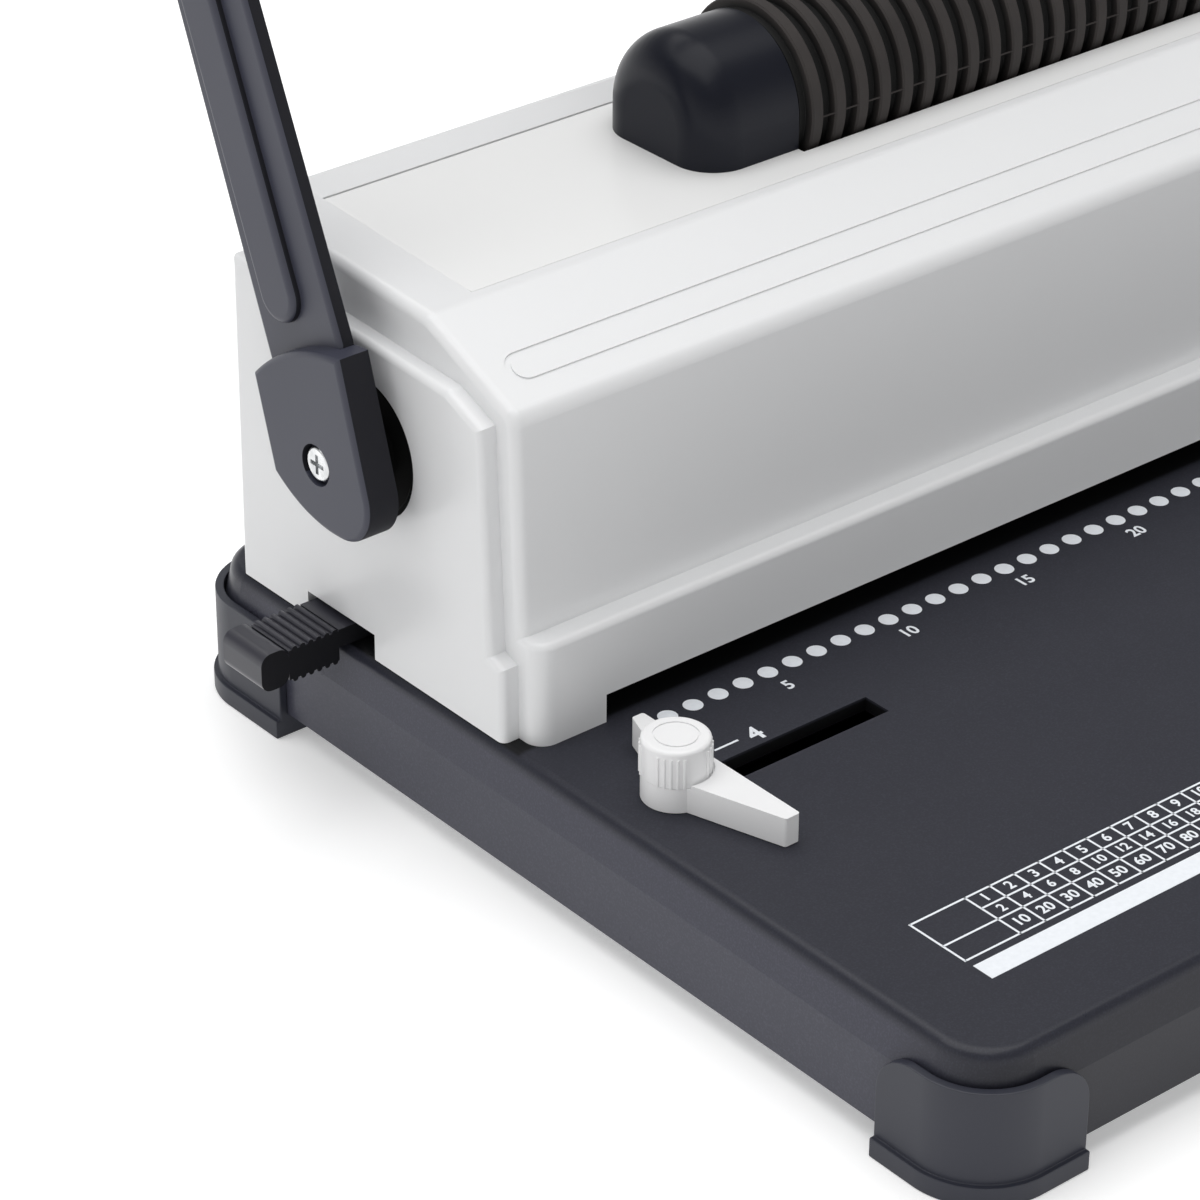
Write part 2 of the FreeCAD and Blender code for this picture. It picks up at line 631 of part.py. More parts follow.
def rear_window(x, height, width, tall):
    """Rectangular hole through the rear wall."""
    z = TABLE_Z + height
    return box((x - width / 2, x + width / 2), (COVER_REAR_Y - COVER_WALL, COVER_REAR_Y),
               (z - tall / 2, z + tall / 2))


def bevel_z(y):
    """Height of the sloping top front at a place along Y."""
    rise = (BEVEL_TOP_HEIGHT - FRONT_TOP_HEIGHT) / (BEVEL_TOP_Y - FRONT_TOP_Y)
    return TABLE_Z + FRONT_TOP_HEIGHT + rise * (y - FRONT_TOP_Y)


def bevel_groove():
    """Thin racetrack line pressed into the sloping front."""
    middle_y = (GROOVE_LOW_Y + GROOVE_HIGH_Y) / 2
    slope = math.atan2(BEVEL_TOP_HEIGHT - FRONT_TOP_HEIGHT, BEVEL_TOP_Y - FRONT_TOP_Y)
    radius = (GROOVE_HIGH_Y - GROOVE_LOW_Y) / math.cos(slope) / 2
    half = COVER_X - GROOVE_END_INSET - radius
    depth = 4 * GROOVE_DEPTH
    low = (-half, 0, -GROOVE_DEPTH)
    high = (half, 0, -GROOVE_DEPTH)
    line = stadium("z", low, high, radius, depth)
    line = line.cut(stadium("z", low, high, radius - GROOVE_WIDTH, depth))
    line.rotate(V(0, 0, 0), AXIS["x"], math.degrees(slope))
    line.translate(V(0, middle_y, bevel_z(middle_y)))
    return line


def top_cover():
    inner_x = COVER_X - COVER_WALL
    cavity = profile_x(cover_profile(COVER_WALL), -inner_x, inner_x)
    roof_z = DECK_Z - DECK_THICKNESS + SCREW_CLEARANCE
    roof = box((-inner_x, inner_x), (BEVEL_TOP_Y, COVER_REAR_Y), (roof_z, TABLE_Z + COVER_REAR_HEIGHT))
    cavity = cavity.cut(roof)
    skirt_cavity = profile_x(skirt_profile(COVER_WALL), -inner_x, inner_x)
    half = PAPER_SLOT_WIDTH / 2
    slot = box((-half, half), (SKIRT_FRONT_Y, LEDGE_Y + 2 * COVER_WALL),
               (TABLE_Z, TABLE_Z + PAPER_SLOT_HEIGHT))
    cuts = [cavity, skirt_cavity, slot, deck_opening(0, DECK_FLANGE_Z, TABLE_Z + COVER_REAR_HEIGHT),
            rim_slope(), shaft_hole(PANEL_HOLE_RADIUS),
            lever_notch(-COVER_X, -COVER_X + COVER_WALL), bevel_groove(),
            rear_window(SWITCH_X, SWITCH_HEIGHT, SWITCH_WIDTH, SWITCH_TALL),
            rear_window(INLET_X, INLET_HEIGHT, INLET_WIDTH, INLET_TALL)]
    return rounded_housing().cut(cuts).Solids[0]


def deck_plate():
    """Plate in the recess of the housing, on a wider flange that lies on the side frames."""
    panel = deck_opening(-SCREW_CLEARANCE, DECK_Z - DECK_THICKNESS, DECK_Z)
    panel = panel.cut(box((-DECK_X, DECK_X), (DECK_REAR_Y - DECK_REAR_GAP, DECK_REAR_Y),
                          (DECK_Z - DECK_THICKNESS, DECK_Z)))
    flange_x = FRAME_INNER_X + FRAME_THICKNESS
    flange = box((-flange_x, flange_x), (FRAME_SHOULDER_Y, DECK_REAR_Y),
                 (DECK_FLANGE_Z, DECK_Z - DECK_THICKNESS))
    flange = flange.common(profile_x(cover_profile(COVER_WALL + SCREW_CLEARANCE), -flange_x, flange_x))
    half_chord = math.sqrt(ROLLER_RADIUS ** 2 - ROLLER_ABOVE_DECK ** 2) + ROLLER_SLOT_CLEARANCE
    roller_slot = box((-CAP_INNER_X, CAP_INNER_X), (ROLLER_Y - half_chord, ROLLER_Y + half_chord),
                      (DECK_FLANGE_Z, DECK_Z))
    gap = BELT_SLOT_CLEARANCE
    reach = PULLEY_RADIUS + BELT_THICKNESS + gap
    belt_slot = box((PULLEY_X - gap, PULLEY_X + PULLEY_WIDTH + gap), (ROLLER_Y - reach, ROLLER_Y + reach),
                    (DECK_FLANGE_Z, DECK_Z))
    return panel.fuse(flange).removeSplitter().cut([roller_slot, belt_slot])


def side_panel(right):
    """Raised panel on one end of the housing, rounded along all its edges but the lower one."""
    panel = profile_x([(y, TABLE_Z + z) for y, z in PANEL_OUTLINE], -PANEL_X, -COVER_X)
    rim = [e for e in face_edges(panel, "x", -PANEL_X) if e.CenterOfMass.z > TABLE_Z]
    panel = panel.makeFillet(PANEL_EDGE_RADIUS, rim)
    panel = panel.cut(shaft_hole(PANEL_HOLE_RADIUS))
    if right:
        return mirrored(panel)
    return panel.cut(lever_notch(-PANEL_X, -COVER_X))


# Steel frame

def side_frame(right):
    """Upright plate with two feet, on which the shaft, the guide plate and the deck are carried."""
    outer_x = FRAME_INNER_X + FRAME_THICKNESS
    outline = [(FRAME_FRONT_Y, TABLE_Z), (FRAME_FRONT_Y, TABLE_Z + FRAME_FRONT_HEIGHT),
               (FRAME_SHOULDER_Y, DECK_FLANGE_Z), (FRAME_REAR_Y, DECK_FLANGE_Z), (FRAME_REAR_Y, TABLE_Z)]
    plate = profile_x(outline, -outer_x, -FRAME_INNER_X)
    foot_x = (-FRAME_INNER_X, -FRAME_INNER_X + FRAME_FOOT_LENGTH)
    foot_z = (TABLE_Z, TABLE_Z + FRAME_FOOT_THICKNESS)
    feet = [box(foot_x, (FRAME_FRONT_Y, FRAME_FRONT_Y + FRAME_FRONT_FOOT_WIDTH), foot_z),
            box(foot_x, (FRAME_REAR_Y - FRAME_REAR_FOOT_WIDTH, FRAME_REAR_Y), foot_z)]
    notch = box((-outer_x, -FRAME_INNER_X), (STOP_FACE_Y - STOP_TRAVEL - STOP_SHEET, NOTCH_REAR_Y),
                (TABLE_Z, TABLE_Z + NOTCH_HEIGHT))
    bore = shaft_hole(SHAFT_RADIUS + BUSH_WALL)
    frame = plate.fuse(feet).removeSplitter().cut([notch, bore] + frame_screw_holes())
    return mirrored(frame) if right else frame


def frame_screws():
    z = TABLE_Z - BASE_TOP_THICKNESS
    length = BASE_TOP_THICKNESS + FRAME_FOOT_THICKNESS
    return [cap_screw("z", (x, y, z), FRAME_SCREW_RADIUS, length, FRAME_SCREW_HEAD, FRAME_SCREW_HEAD_HEIGHT)
            for x in (-FRAME_FOOT_X, FRAME_FOOT_X) for y in FRAME_SCREW_YS]


def punch_holes(radius, z0, z1):
    return [rod("z", (x, DIE_LINE_Y, z0), radius, z1 - z0) for x in HOLE_XS]


def die_plate():
    """Plate flush with the table, with a wider flange that is held under the table."""
    middle_z = TABLE_Z - BASE_TOP_THICKNESS
    low_z = TABLE_Z - DIE_THICKNESS
    face = box((-DIE_HALF_LENGTH, DIE_HALF_LENGTH),
               (DIE_LINE_Y - DIE_HALF_WIDTH, DIE_LINE_Y + DIE_HALF_WIDTH), (middle_z, TABLE_Z))
    half_x = DIE_HALF_LENGTH + DIE_FLANGE
    half_y = DIE_HALF_WIDTH + DIE_FLANGE
    flange = box((-half_x, half_x), (DIE_LINE_Y - half_y, DIE_LINE_Y + half_y), (low_z, middle_z))
    holes = punch_holes(PUNCH_RADIUS + PUNCH_CLEARANCE, low_z, TABLE_Z)
    return face.fuse(flange).removeSplitter().cut(holes)


def punch_guide_plate():
    half = GUIDE_PLATE_HALF_WIDTH
    plate = box((-FRAME_INNER_X, FRAME_INNER_X), (DIE_LINE_Y - half, DIE_LINE_Y + half),
                (GUIDE_PLATE_Z, GUIDE_PLATE_TOP_Z))
    return plate.cut(punch_holes(PUNCH_RADIUS + PUNCH_CLEARANCE, GUIDE_PLATE_Z, GUIDE_PLATE_TOP_Z))


def tie_bar():
    z = TABLE_Z + TIE_BAR_HEIGHT
    return box((-FRAME_INNER_X, FRAME_INNER_X), (FRAME_REAR_Y - TIE_BAR_SIZE, FRAME_REAR_Y),
               (z, z + TIE_BAR_SIZE))


# Handle and drive

def shaft_bush(right):
    """Flanged bush in one side frame."""
    outer = SHAFT_RADIUS + BUSH_WALL
    sleeve = rod("x", (-FRAME_INNER_X - FRAME_THICKNESS, SHAFT_Y, SHAFT_Z), outer, FRAME_THICKNESS)
    flange = rod("x", (-FRAME_INNER_X, SHAFT_Y, SHAFT_Z), outer + BUSH_FLANGE, BUSH_FLANGE_THICKNESS)
    bush = sleeve.fuse(flange).removeSplitter().cut(shaft_hole(SHAFT_RADIUS + RUNNING_CLEARANCE))
    return mirrored(bush) if right else bush


def drive_shaft():
    length = 2 * ARM_OUTER_X
    shaft = rod("x", (-ARM_OUTER_X, SHAFT_Y, SHAFT_Z), SHAFT_RADIUS, length)
    depth = SHAFT_BORE_DEPTH
    radius = HUB_SCREW_RADIUS / 2 + SCREW_CLEARANCE
    holes = [rod("x", (x, SHAFT_Y, SHAFT_Z), radius, depth) for x in (-ARM_OUTER_X, ARM_OUTER_X - depth)]
    return shaft.cut(holes)


def involute_tooth_angle(radius, thickness):
    """Half of a tooth's angle at a radius, from its thickness on the pitch circle."""
    base_radius = PITCH_RADIUS * math.cos(math.radians(PRESSURE_ANGLE))

    def involute(at):
        pressure = math.acos(min(1.0, base_radius / at))
        return math.tan(pressure) - pressure

    return thickness / (2 * PITCH_RADIUS) + involute(PITCH_RADIUS) - involute(max(radius, base_radius))


def pinion(right):
    """Spur pinion with involute flanks; a space faces the rack at rest."""
    thickness = math.pi * PINION_MODULE / 2 - TOOTH_BACKLASH / 2
    base_radius = PITCH_RADIUS * math.cos(math.radians(PRESSURE_ANGLE))
    tip = PITCH_RADIUS + PINION_MODULE
    root = PITCH_RADIUS - 1.25 * PINION_MODULE
    radii = [base_radius + (tip - base_radius) * step / 4 for step in range(5)]
    pitch_angle = 2 * math.pi / PINION_TEETH

    def at(radius, angle):
        return V(0, -radius * math.cos(angle), radius * math.sin(angle))

    def flank(middle, side):
        points = [at(r, middle + side * involute_tooth_angle(r, thickness)) for r in radii]
        curve = Part.BSplineCurve()
        curve.interpolate(points)
        return curve.toShape()

    edges = []
    for tooth in range(PINION_TEETH):
        middle = (tooth + 0.5) * pitch_angle
        wide = involute_tooth_angle(base_radius, thickness)
        narrow = involute_tooth_angle(tip, thickness)
        edges.append(Part.LineSegment(at(root, middle - wide), at(base_radius, middle - wide)).toShape())
        edges.append(flank(middle, -1))
        edges.append(Part.Arc(at(tip, middle - narrow), at(tip, middle), at(tip, middle + narrow)).toShape())
        edges.append(flank(middle, 1))
        edges.append(Part.LineSegment(at(base_radius, middle + wide), at(root, middle + wide)).toShape())
        after = middle + pitch_angle
        edges.append(Part.Arc(at(root, middle + wide), at(root, (middle + after) / 2),
                              at(root, after - wide)).toShape())
    outline = Part.Wire(Part.__sortEdges__(edges))
    gear = Part.Face(outline).extrude(V(PINION_WIDTH, 0, 0))
    gear.translate(V(-RACK_X - PINION_WIDTH / 2, SHAFT_Y, SHAFT_Z))
    gear = gear.cut(shaft_hole(SHAFT_RADIUS + SCREW_CLEARANCE / 5))
    return mirrored(gear) if right else gear


def leaned(shape, lean):
    """Turn a piece that was drawn upright on the shaft axis towards the rear."""
    shape = shape.copy()
    shape.translate(V(0, SHAFT_Y, SHAFT_Z))
    shape.rotate(V(0, SHAFT_Y, SHAFT_Z), AXIS["x"], -lean)
    return shape


def arm_blank():
    """Tapered arm plate with a round foot and a round top, without its rib or holes."""
    inner_x = ARM_OUTER_X - ARM_THICKNESS
    half_low = ARM_WIDTH_LOW / 2
    half_high = ARM_WIDTH_HIGH / 2
    foot = ARM_FOOT_RADIUS
    plate = profile_x([(-foot, 0), (-half_low, ARM_WIDE_AT), (-half_high, ARM_LENGTH),
                       (half_high, ARM_LENGTH), (half_low, ARM_WIDE_AT), (foot, 0)], -ARM_OUTER_X, -inner_x)
    ends = [rod("x", (-ARM_OUTER_X, 0, 0), foot, ARM_THICKNESS),
            rod("x", (-ARM_OUTER_X, 0, ARM_LENGTH), half_high, ARM_THICKNESS)]
    return plate.fuse(ends).removeSplitter()


def handle_arm(right):
    arm = arm_blank()
    edges = [e for e in face_edges(arm, "x", -ARM_OUTER_X) if e.CenterOfMass.z > ARM_WIDE_AT]
    arm = arm.makeFillet(HUB_EDGE_RADIUS, edges)
    radius = ARM_RIB_WIDTH / 2
    x = -ARM_OUTER_X - ARM_RIB_PROUD
    rib = stadium("x", (x, ARM_RIB_OFFSET, ARM_RIB_START + radius),
                  (x, ARM_RIB_OFFSET, ARM_LENGTH - ARM_TOP_PLAIN), radius, ARM_RIB_PROUD + HUB_EDGE_RADIUS)
    rib = rib.makeFillet(ARM_RIB_PROUD * 0.8, face_edges(rib, "x", x))
    hole = rod("x", (-ARM_OUTER_X, 0, ARM_LENGTH), HUB_SCREW_RADIUS / 2 + SCREW_CLEARANCE, ARM_THICKNESS)
    arm = leaned(arm.fuse(rib).removeSplitter().cut(hole), ARM_LEAN)
    arm = arm.cut(shaft_hole(SHAFT_RADIUS + SCREW_CLEARANCE / 5))
    return mirrored(arm) if right else arm


def hub_cover(right):
    """Cover round the arm's foot: arched above, slanting to a rounded toe below, with a sunk screw."""
    inner_x = PANEL_X + HUB_GAP
    rear_top = V(-HUB_OUTER_X, HUB_REAR_SIDE, HUB_TOP_REAR)
    crown = V(-HUB_OUTER_X, HUB_CROWN_OFFSET, HUB_TOP_CROWN)
    front_top = V(-HUB_OUTER_X, -HUB_FRONT_SIDE, HUB_TOP_FRONT)
    low_rear = V(-HUB_OUTER_X, HUB_REAR_SIDE, HUB_LOW_REAR)
    low_front = V(-HUB_OUTER_X, -HUB_FRONT_SIDE, HUB_LOW_FRONT)
    sole = V(-HUB_OUTER_X, *HUB_SOLE)
    edges = [Part.Arc(rear_top, crown, front_top), Part.LineSegment(front_top, low_front),
             Part.Arc(low_front, V(-HUB_OUTER_X, *HUB_TOE), sole),
             Part.Arc(sole, V(-HUB_OUTER_X, *HUB_HEEL), low_rear), Part.LineSegment(low_rear, rear_top)]
    outline = Part.Wire([e.toShape() for e in edges])
    lug = Part.Face(outline).extrude(V(HUB_OUTER_X - inner_x, 0, 0))
    lug = lug.makeFillet(HUB_EDGE_RADIUS, face_edges(lug, "x", -HUB_OUTER_X))
    lug = leaned(lug, HUB_LEAN)
    start = (-HUB_OUTER_X, SHAFT_Y, SHAFT_Z)
    recess = rod("x", start, HUB_SCREW_RECESS, HUB_RECESS_DEPTH)
    screw_bore = rod("x", start, HUB_SCREW_RADIUS / 2 + SCREW_CLEARANCE, HUB_OUTER_X - ARM_OUTER_X)
    shaft_bore = rod("x", (-ARM_OUTER_X, SHAFT_Y, SHAFT_Z), SHAFT_RADIUS + SCREW_CLEARANCE / 5,
                     ARM_OUTER_X - inner_x)
    lug = lug.cut([leaned(arm_blank(), ARM_LEAN), recess, screw_bore, shaft_bore])
    return mirrored(lug) if right else lug


def hub_screw(right):
    """Round-headed screw with a cross slot, into the end of the shaft."""
    seat_x = -HUB_OUTER_X + HUB_RECESS_DEPTH
    top_x = seat_x - HUB_SCREW_HEAD_HEIGHT
    screw = rod("x", (seat_x, SHAFT_Y, SHAFT_Z), HUB_SCREW_RADIUS / 2, HUB_SCREW_LENGTH)
    head = rod("x", (top_x, SHAFT_Y, SHAFT_Z), HUB_SCREW_RADIUS, HUB_SCREW_HEAD_HEIGHT)
    head = head.makeFillet(HUB_SCREW_HEAD_ROUND, face_edges(head, "x", top_x))
    slot_x = (top_x, top_x + CROSS_SLOT_DEPTH)
    long_half = CROSS_SLOT_HALF
    thin_half = CROSS_SLOT_WIDTH / 2
    slots = [box(slot_x, (SHAFT_Y - a, SHAFT_Y + a), (SHAFT_Z - b, SHAFT_Z + b))
             for a, b in ((long_half, thin_half), (thin_half, long_half))]
    screw = screw.fuse(head).removeSplitter().cut(slots)
    return mirrored(screw) if right else screw


def crossbar():
    half = ARM_OUTER_X - ARM_THICKNESS
    bar = rod("x", (-half, CROSSBAR_Y, CROSSBAR_Z), CROSSBAR_RADIUS, 2 * half)
    radius = HUB_SCREW_RADIUS / 2 + SCREW_CLEARANCE
    depth = CROSSBAR_SCREW_DEPTH + SHAFT_END
    return bar.cut([rod("x", (x, CROSSBAR_Y, CROSSBAR_Z), radius, depth) for x in (-half, half - depth)])


def handle_grip():
    """Soft sleeve on the crossbar with rounded ends."""
    start = (-GRIP_LENGTH / 2, CROSSBAR_Y, CROSSBAR_Z)
    sleeve = rod("x", start, GRIP_RADIUS, GRIP_LENGTH)
    sleeve = sleeve.makeFillet(GRIP_END_RADIUS, [e for e in sleeve.Edges if e.Closed])
    return sleeve.cut(rod("x", start, CROSSBAR_RADIUS, GRIP_LENGTH))


def crossbar_screws():
    length = ARM_THICKNESS + CROSSBAR_SCREW_DEPTH
    start = ARM_OUTER_X - length
    return [cap_screw("x", (side * start, CROSSBAR_Y, CROSSBAR_Z), HUB_SCREW_RADIUS / 2, length,
                      HUB_SCREW_RADIUS, HUB_SCREW_HEAD_HEIGHT, side) for side in (-1, 1)]


# Punch carriage

def punch_bar():
    half = PUNCH_BAR_HALF_WIDTH
    head_z = CLAMP_BAR_Z - PIN_HEAD_HEIGHT
    bar = box((-PUNCH_BAR_HALF_LENGTH, PUNCH_BAR_HALF_LENGTH), (DIE_LINE_Y - half, DIE_LINE_Y + half),
              (PUNCH_BAR_Z, CLAMP_BAR_Z))
    return bar.cut(punch_holes(PUNCH_RADIUS + RUNNING_CLEARANCE, PUNCH_BAR_Z, CLAMP_BAR_Z)
                   + punch_holes(PIN_HEAD_RADIUS + RUNNING_CLEARANCE, head_z, CLAMP_BAR_Z))


def punch_pins():
    tip_z = GUIDE_PLATE_Z + PIN_TIP_ABOVE_GUIDE
    length = CLAMP_BAR_Z - PIN_HEAD_HEIGHT - tip_z
    return [cap_screw("z", (x, DIE_LINE_Y, tip_z), PUNCH_RADIUS, length, PIN_HEAD_RADIUS, PIN_HEAD_HEIGHT)
            for x in HOLE_XS]


def clamp_bar():
    """Bar over the pin heads, with an ear at each end that runs on a guide post."""
    half = PUNCH_BAR_HALF_WIDTH
    span_z = (CLAMP_BAR_Z, CLAMP_BAR_TOP_Z)
    bar = box((-CLAMP_BAR_HALF_LENGTH, CLAMP_BAR_HALF_LENGTH), (DIE_LINE_Y - half, DIE_LINE_Y + half), span_z)
    ears = [box((x - EAR_HALF_WIDTH, x + EAR_HALF_WIDTH), (POST_Y - EAR_HALF_WIDTH, DIE_LINE_Y), span_z)
            for x in (-POST_X, POST_X)]
    bores = [rod("z", (x, POST_Y, CLAMP_BAR_Z), POST_RADIUS + RUNNING_CLEARANCE, CLAMP_BAR_HEIGHT)
             for x in (-POST_X, POST_X)]
    return bar.fuse(ears).removeSplitter().cut(bores)


def rack(right):
    """Upright rack behind the punch line; one tooth stands at the shaft's height at rest."""
    top_z = SHAFT_Z + RACK_TOP_ABOVE_SHAFT
    root_y = RACK_PITCH_Y - 1.25 * PINION_MODULE
    tip_y = RACK_PITCH_Y + PINION_MODULE
    x0 = -RACK_X - RACK_WIDTH / 2
    x1 = -RACK_X + RACK_WIDTH / 2
    slope = math.tan(math.radians(PRESSURE_ANGLE))
    half = (math.pi * PINION_MODULE / 2 - TOOTH_BACKLASH / 2) / 2
    half_root = half + slope * 1.25 * PINION_MODULE
    half_tip = half - slope * PINION_MODULE
    pitch = math.pi * PINION_MODULE
    body = box((x0, x1), (RACK_BACK_Y, root_y), (CLAMP_BAR_TOP_Z, top_z))
    teeth = []
    first = math.ceil((CLAMP_BAR_TOP_Z + half_root - SHAFT_Z) / pitch)
    last = math.floor((top_z - half_root - SHAFT_Z) / pitch)
    for index in range(first, last + 1):
        z = SHAFT_Z + index * pitch
        teeth.append(profile_x([(root_y, z - half_root), (root_y, z + half_root), (tip_y, z + half_tip),
                                (tip_y, z - half_tip)], x0, x1))
    bar = body.fuse(teeth).removeSplitter()
    return mirrored(bar) if right else bar


def guide_posts():
    length = CLAMP_BAR_TOP_Z + POST_ABOVE_CLAMP - GUIDE_PLATE_TOP_Z
    return [rod("z", (x, POST_Y, GUIDE_PLATE_TOP_Z), POST_RADIUS, length) for x in (-POST_X, POST_X)]


def return_springs():
    """Coil springs on the guide posts that lift the carriage."""
    low = GUIDE_PLATE_TOP_Z + SPRING_WIRE_RADIUS
    height = CLAMP_BAR_Z - SPRING_WIRE_RADIUS - low
    springs = []
    for x in (-POST_X, POST_X):
        helix = Part.makeHelix(height / SPRING_TURNS, height, SPRING_COIL_RADIUS)
        start = V(SPRING_COIL_RADIUS, 0, 0)
        section = Part.Wire(Part.makeCircle(SPRING_WIRE_RADIUS, start, AXIS["y"]))
        coil = Part.Wire(helix).makePipeShell([section], True, True)
        coil = Part.Solid(coil) if coil.ShapeType != "Solid" else coil
        coil.translate(V(x, POST_Y, low))
        springs.append(coil)
    return springs


# Margin stop

def stop_bar():
    """Angle strip behind the punch line, with two slotted tabs and a leg to the lever."""
    z0 = TABLE_Z + FREE_CLEARANCE
    sheet_z = (z0, z0 + STOP_SHEET)
    half = FRAME_INNER_X - STOP_END_CLEARANCE
    rear_y = STOP_FACE_Y + STOP_FLANGE
    face = box((-half, half), (STOP_FACE_Y, STOP_FACE_Y + STOP_SHEET), (z0, z0 + STOP_HEIGHT))
    flange = box((-half, half), (STOP_FACE_Y, rear_y), sheet_z)
    leg = box((-LEVER_ROOT_X, -STOP_LEG_X), (STOP_FACE_Y, LEVER_Y1), sheet_z)
    slot_radius = STUD_RADIUS + SCREW_CLEARANCE * 2
    tabs = []
    slots = []
    for x in (-STOP_SCREW_X, STOP_SCREW_X):
        tab_y = STOP_SCREW_Y + STOP_TRAVEL + 2 * slot_radius
        tabs.append(box((x - STOP_TAB_WIDTH / 2, x + STOP_TAB_WIDTH / 2), (STOP_FACE_Y, tab_y), sheet_z))
        slots.append(stadium("z", (x, STOP_SCREW_Y, z0), (x, STOP_SCREW_Y + STOP_TRAVEL, z0), slot_radius,
                             STOP_SHEET))
    return face.fuse([flange, leg] + tabs).removeSplitter().cut(slots)


def stop_screws():
    """Shoulder screws in the table that guide the stop bar."""
    length = FREE_CLEARANCE * 2 + STOP_SHEET
    return [cap_screw("z", (x, STOP_SCREW_Y, TABLE_Z), STUD_RADIUS, length, 2 * STUD_RADIUS,
                      STOP_SCREW_HEAD_HEIGHT) for x in (-STOP_SCREW_X, STOP_SCREW_X)]


def margin_lever():
    """Black lever on the left: a tongue on the stop bar's leg, a ribbed grip and a hooked end."""
    z0 = TABLE_Z + FREE_CLEARANCE
    top_z = TABLE_Z + LEVER_TOP
    wall_x = -BASE_WIDTH / 2 - 2 * FREE_CLEARANCE
    cap_x = -LEVER_END_X + LEVER_CAP_LENGTH
    span_y = (LEVER_Y0, LEVER_Y1)
    tongue = box((-LEVER_ROOT_X, -STOP_LEG_X), span_y, (z0 + STOP_SHEET, top_z))
    stem = box((wall_x, -LEVER_ROOT_X), span_y, (z0, top_z))
    low_z = TABLE_Z - LEVER_GRIP_DROP
    grip = box((cap_x, wall_x), span_y, (low_z, top_z - LEVER_RIB_RADIUS / 2))
    cap = box((-LEVER_END_X, cap_x), span_y, (TABLE_Z - LEVER_CAP_DROP, TABLE_Z + LEVER_CAP_TOP))
    cap = cap.makeFillet(LEVER_CAP_RADIUS, edges_along(cap, "y"))
    ribs = []
    for index in range(LEVER_RIB_COUNT):
        x = wall_x - (index + 0.5) * LEVER_RIB_PITCH
        for z in (low_z, top_z - LEVER_RIB_RADIUS / 2):
            ribs.append(rod("y", (x, LEVER_Y0, z), LEVER_RIB_RADIUS, LEVER_Y1 - LEVER_Y0))
    return tongue.fuse([stem, grip, cap] + ribs).removeSplitter()


# Edge guide

def edge_guide():
    """Hub with a straight paper edge that tapers to the front and to the rear."""
    z0 = TABLE_Z + FREE_CLEARANCE / 2
    edge = GUIDE_X + GUIDE_ARM_EDGE
    height = GUIDE_ARM_HEIGHT - FREE_CLEARANCE / 2
    hub = rod("z", (GUIDE_X, GUIDE_Y, z0), GUIDE_HUB_RADIUS, GUIDE_HUB_HEIGHT)
    root = GUIDE_HUB_RADIUS - GUIDE_TAB_WIDTH / 2
    outline = [(edge, GUIDE_ARM_TIP_Y), (edge, GUIDE_TAB_Y), (edge - GUIDE_TAB_WIDTH, GUIDE_TAB_Y),
               (GUIDE_X, GUIDE_Y + root), (GUIDE_X - GUIDE_TAB_WIDTH, GUIDE_Y - root),
               (edge - GUIDE_ARM_TIP_WIDTH, GUIDE_ARM_TIP_Y)]
    arm = prism([(x, y, z0) for x, y in outline], (0, 0, height))
    tips = edges_along(arm, "z", lambda c: abs(c.y - GUIDE_Y) > GUIDE_HUB_RADIUS)
    arm = arm.makeFillet(GUIDE_EDGE_RADIUS, tips)
    keep = rod("z", (GUIDE_X, GUIDE_Y, z0 + GUIDE_HUB_HEIGHT), KNOB_RADIUS + FREE_CLEARANCE, KNOB_HEIGHT)
    bore = rod("z", (GUIDE_X, GUIDE_Y, z0), STUD_RADIUS + RUNNING_CLEARANCE, GUIDE_HUB_HEIGHT)
    return hub.fuse(arm).removeSplitter().cut([keep, bore])


def guide_knob():
    """Lock knob with a ribbed rim and a shallow ring on its top."""
    z0 = TABLE_Z + FREE_CLEARANCE / 2 + GUIDE_HUB_HEIGHT + RUNNING_CLEARANCE * 2
    knob = rod("z", (GUIDE_X, GUIDE_Y, z0), KNOB_RADIUS - KNOB_RIB_RADIUS, KNOB_HEIGHT)
    top_z = z0 + KNOB_HEIGHT
    knob = knob.makeFillet(KNOB_EDGE_RADIUS, face_edges(knob, "z", top_z))
    ribs = []
    for index in range(KNOB_RIB_GROUPS * KNOB_GROUP_RIBS):
        group, rib = divmod(index, KNOB_GROUP_RIBS)
        middle = KNOB_GROUP_TURN + 360 / KNOB_RIB_GROUPS * group
        angle = math.radians(middle + (rib - (KNOB_GROUP_RIBS - 1) / 2) * KNOB_RIB_PITCH)
        ring = KNOB_RADIUS - KNOB_RIB_RADIUS
        x = GUIDE_X + ring * math.cos(angle)
        y = GUIDE_Y + ring * math.sin(angle)
        ribs.append(rod("z", (x, y, z0), KNOB_RIB_RADIUS, KNOB_HEIGHT - KNOB_ROOF))
    ring = tube("z", (GUIDE_X, GUIDE_Y, top_z - KNOB_RING_DEPTH), KNOB_RING_RADIUS,
                KNOB_RING_RADIUS - KNOB_RING_WIDTH, KNOB_RING_DEPTH)
    depth = KNOB_HEIGHT - KNOB_ROOF
    bore = rod("z", (GUIDE_X, GUIDE_Y, z0), STUD_RADIUS + RUNNING_CLEARANCE, depth)
    return knob.fuse(ribs).removeSplitter().cut([ring, bore])


def guide_stud():
    z0 = TABLE_Z - BASE_TOP_THICKNESS - FREE_CLEARANCE - GUIDE_SHOE_THICKNESS
    top = TABLE_Z + FREE_CLEARANCE / 2 + GUIDE_HUB_HEIGHT + KNOB_HEIGHT - KNOB_ROOF - FREE_CLEARANCE
    return cap_screw("z", (GUIDE_X, GUIDE_Y, top), STUD_RADIUS, top - z0, 2 * STUD_RADIUS,
                     STUD_HEAD_HEIGHT, -1)


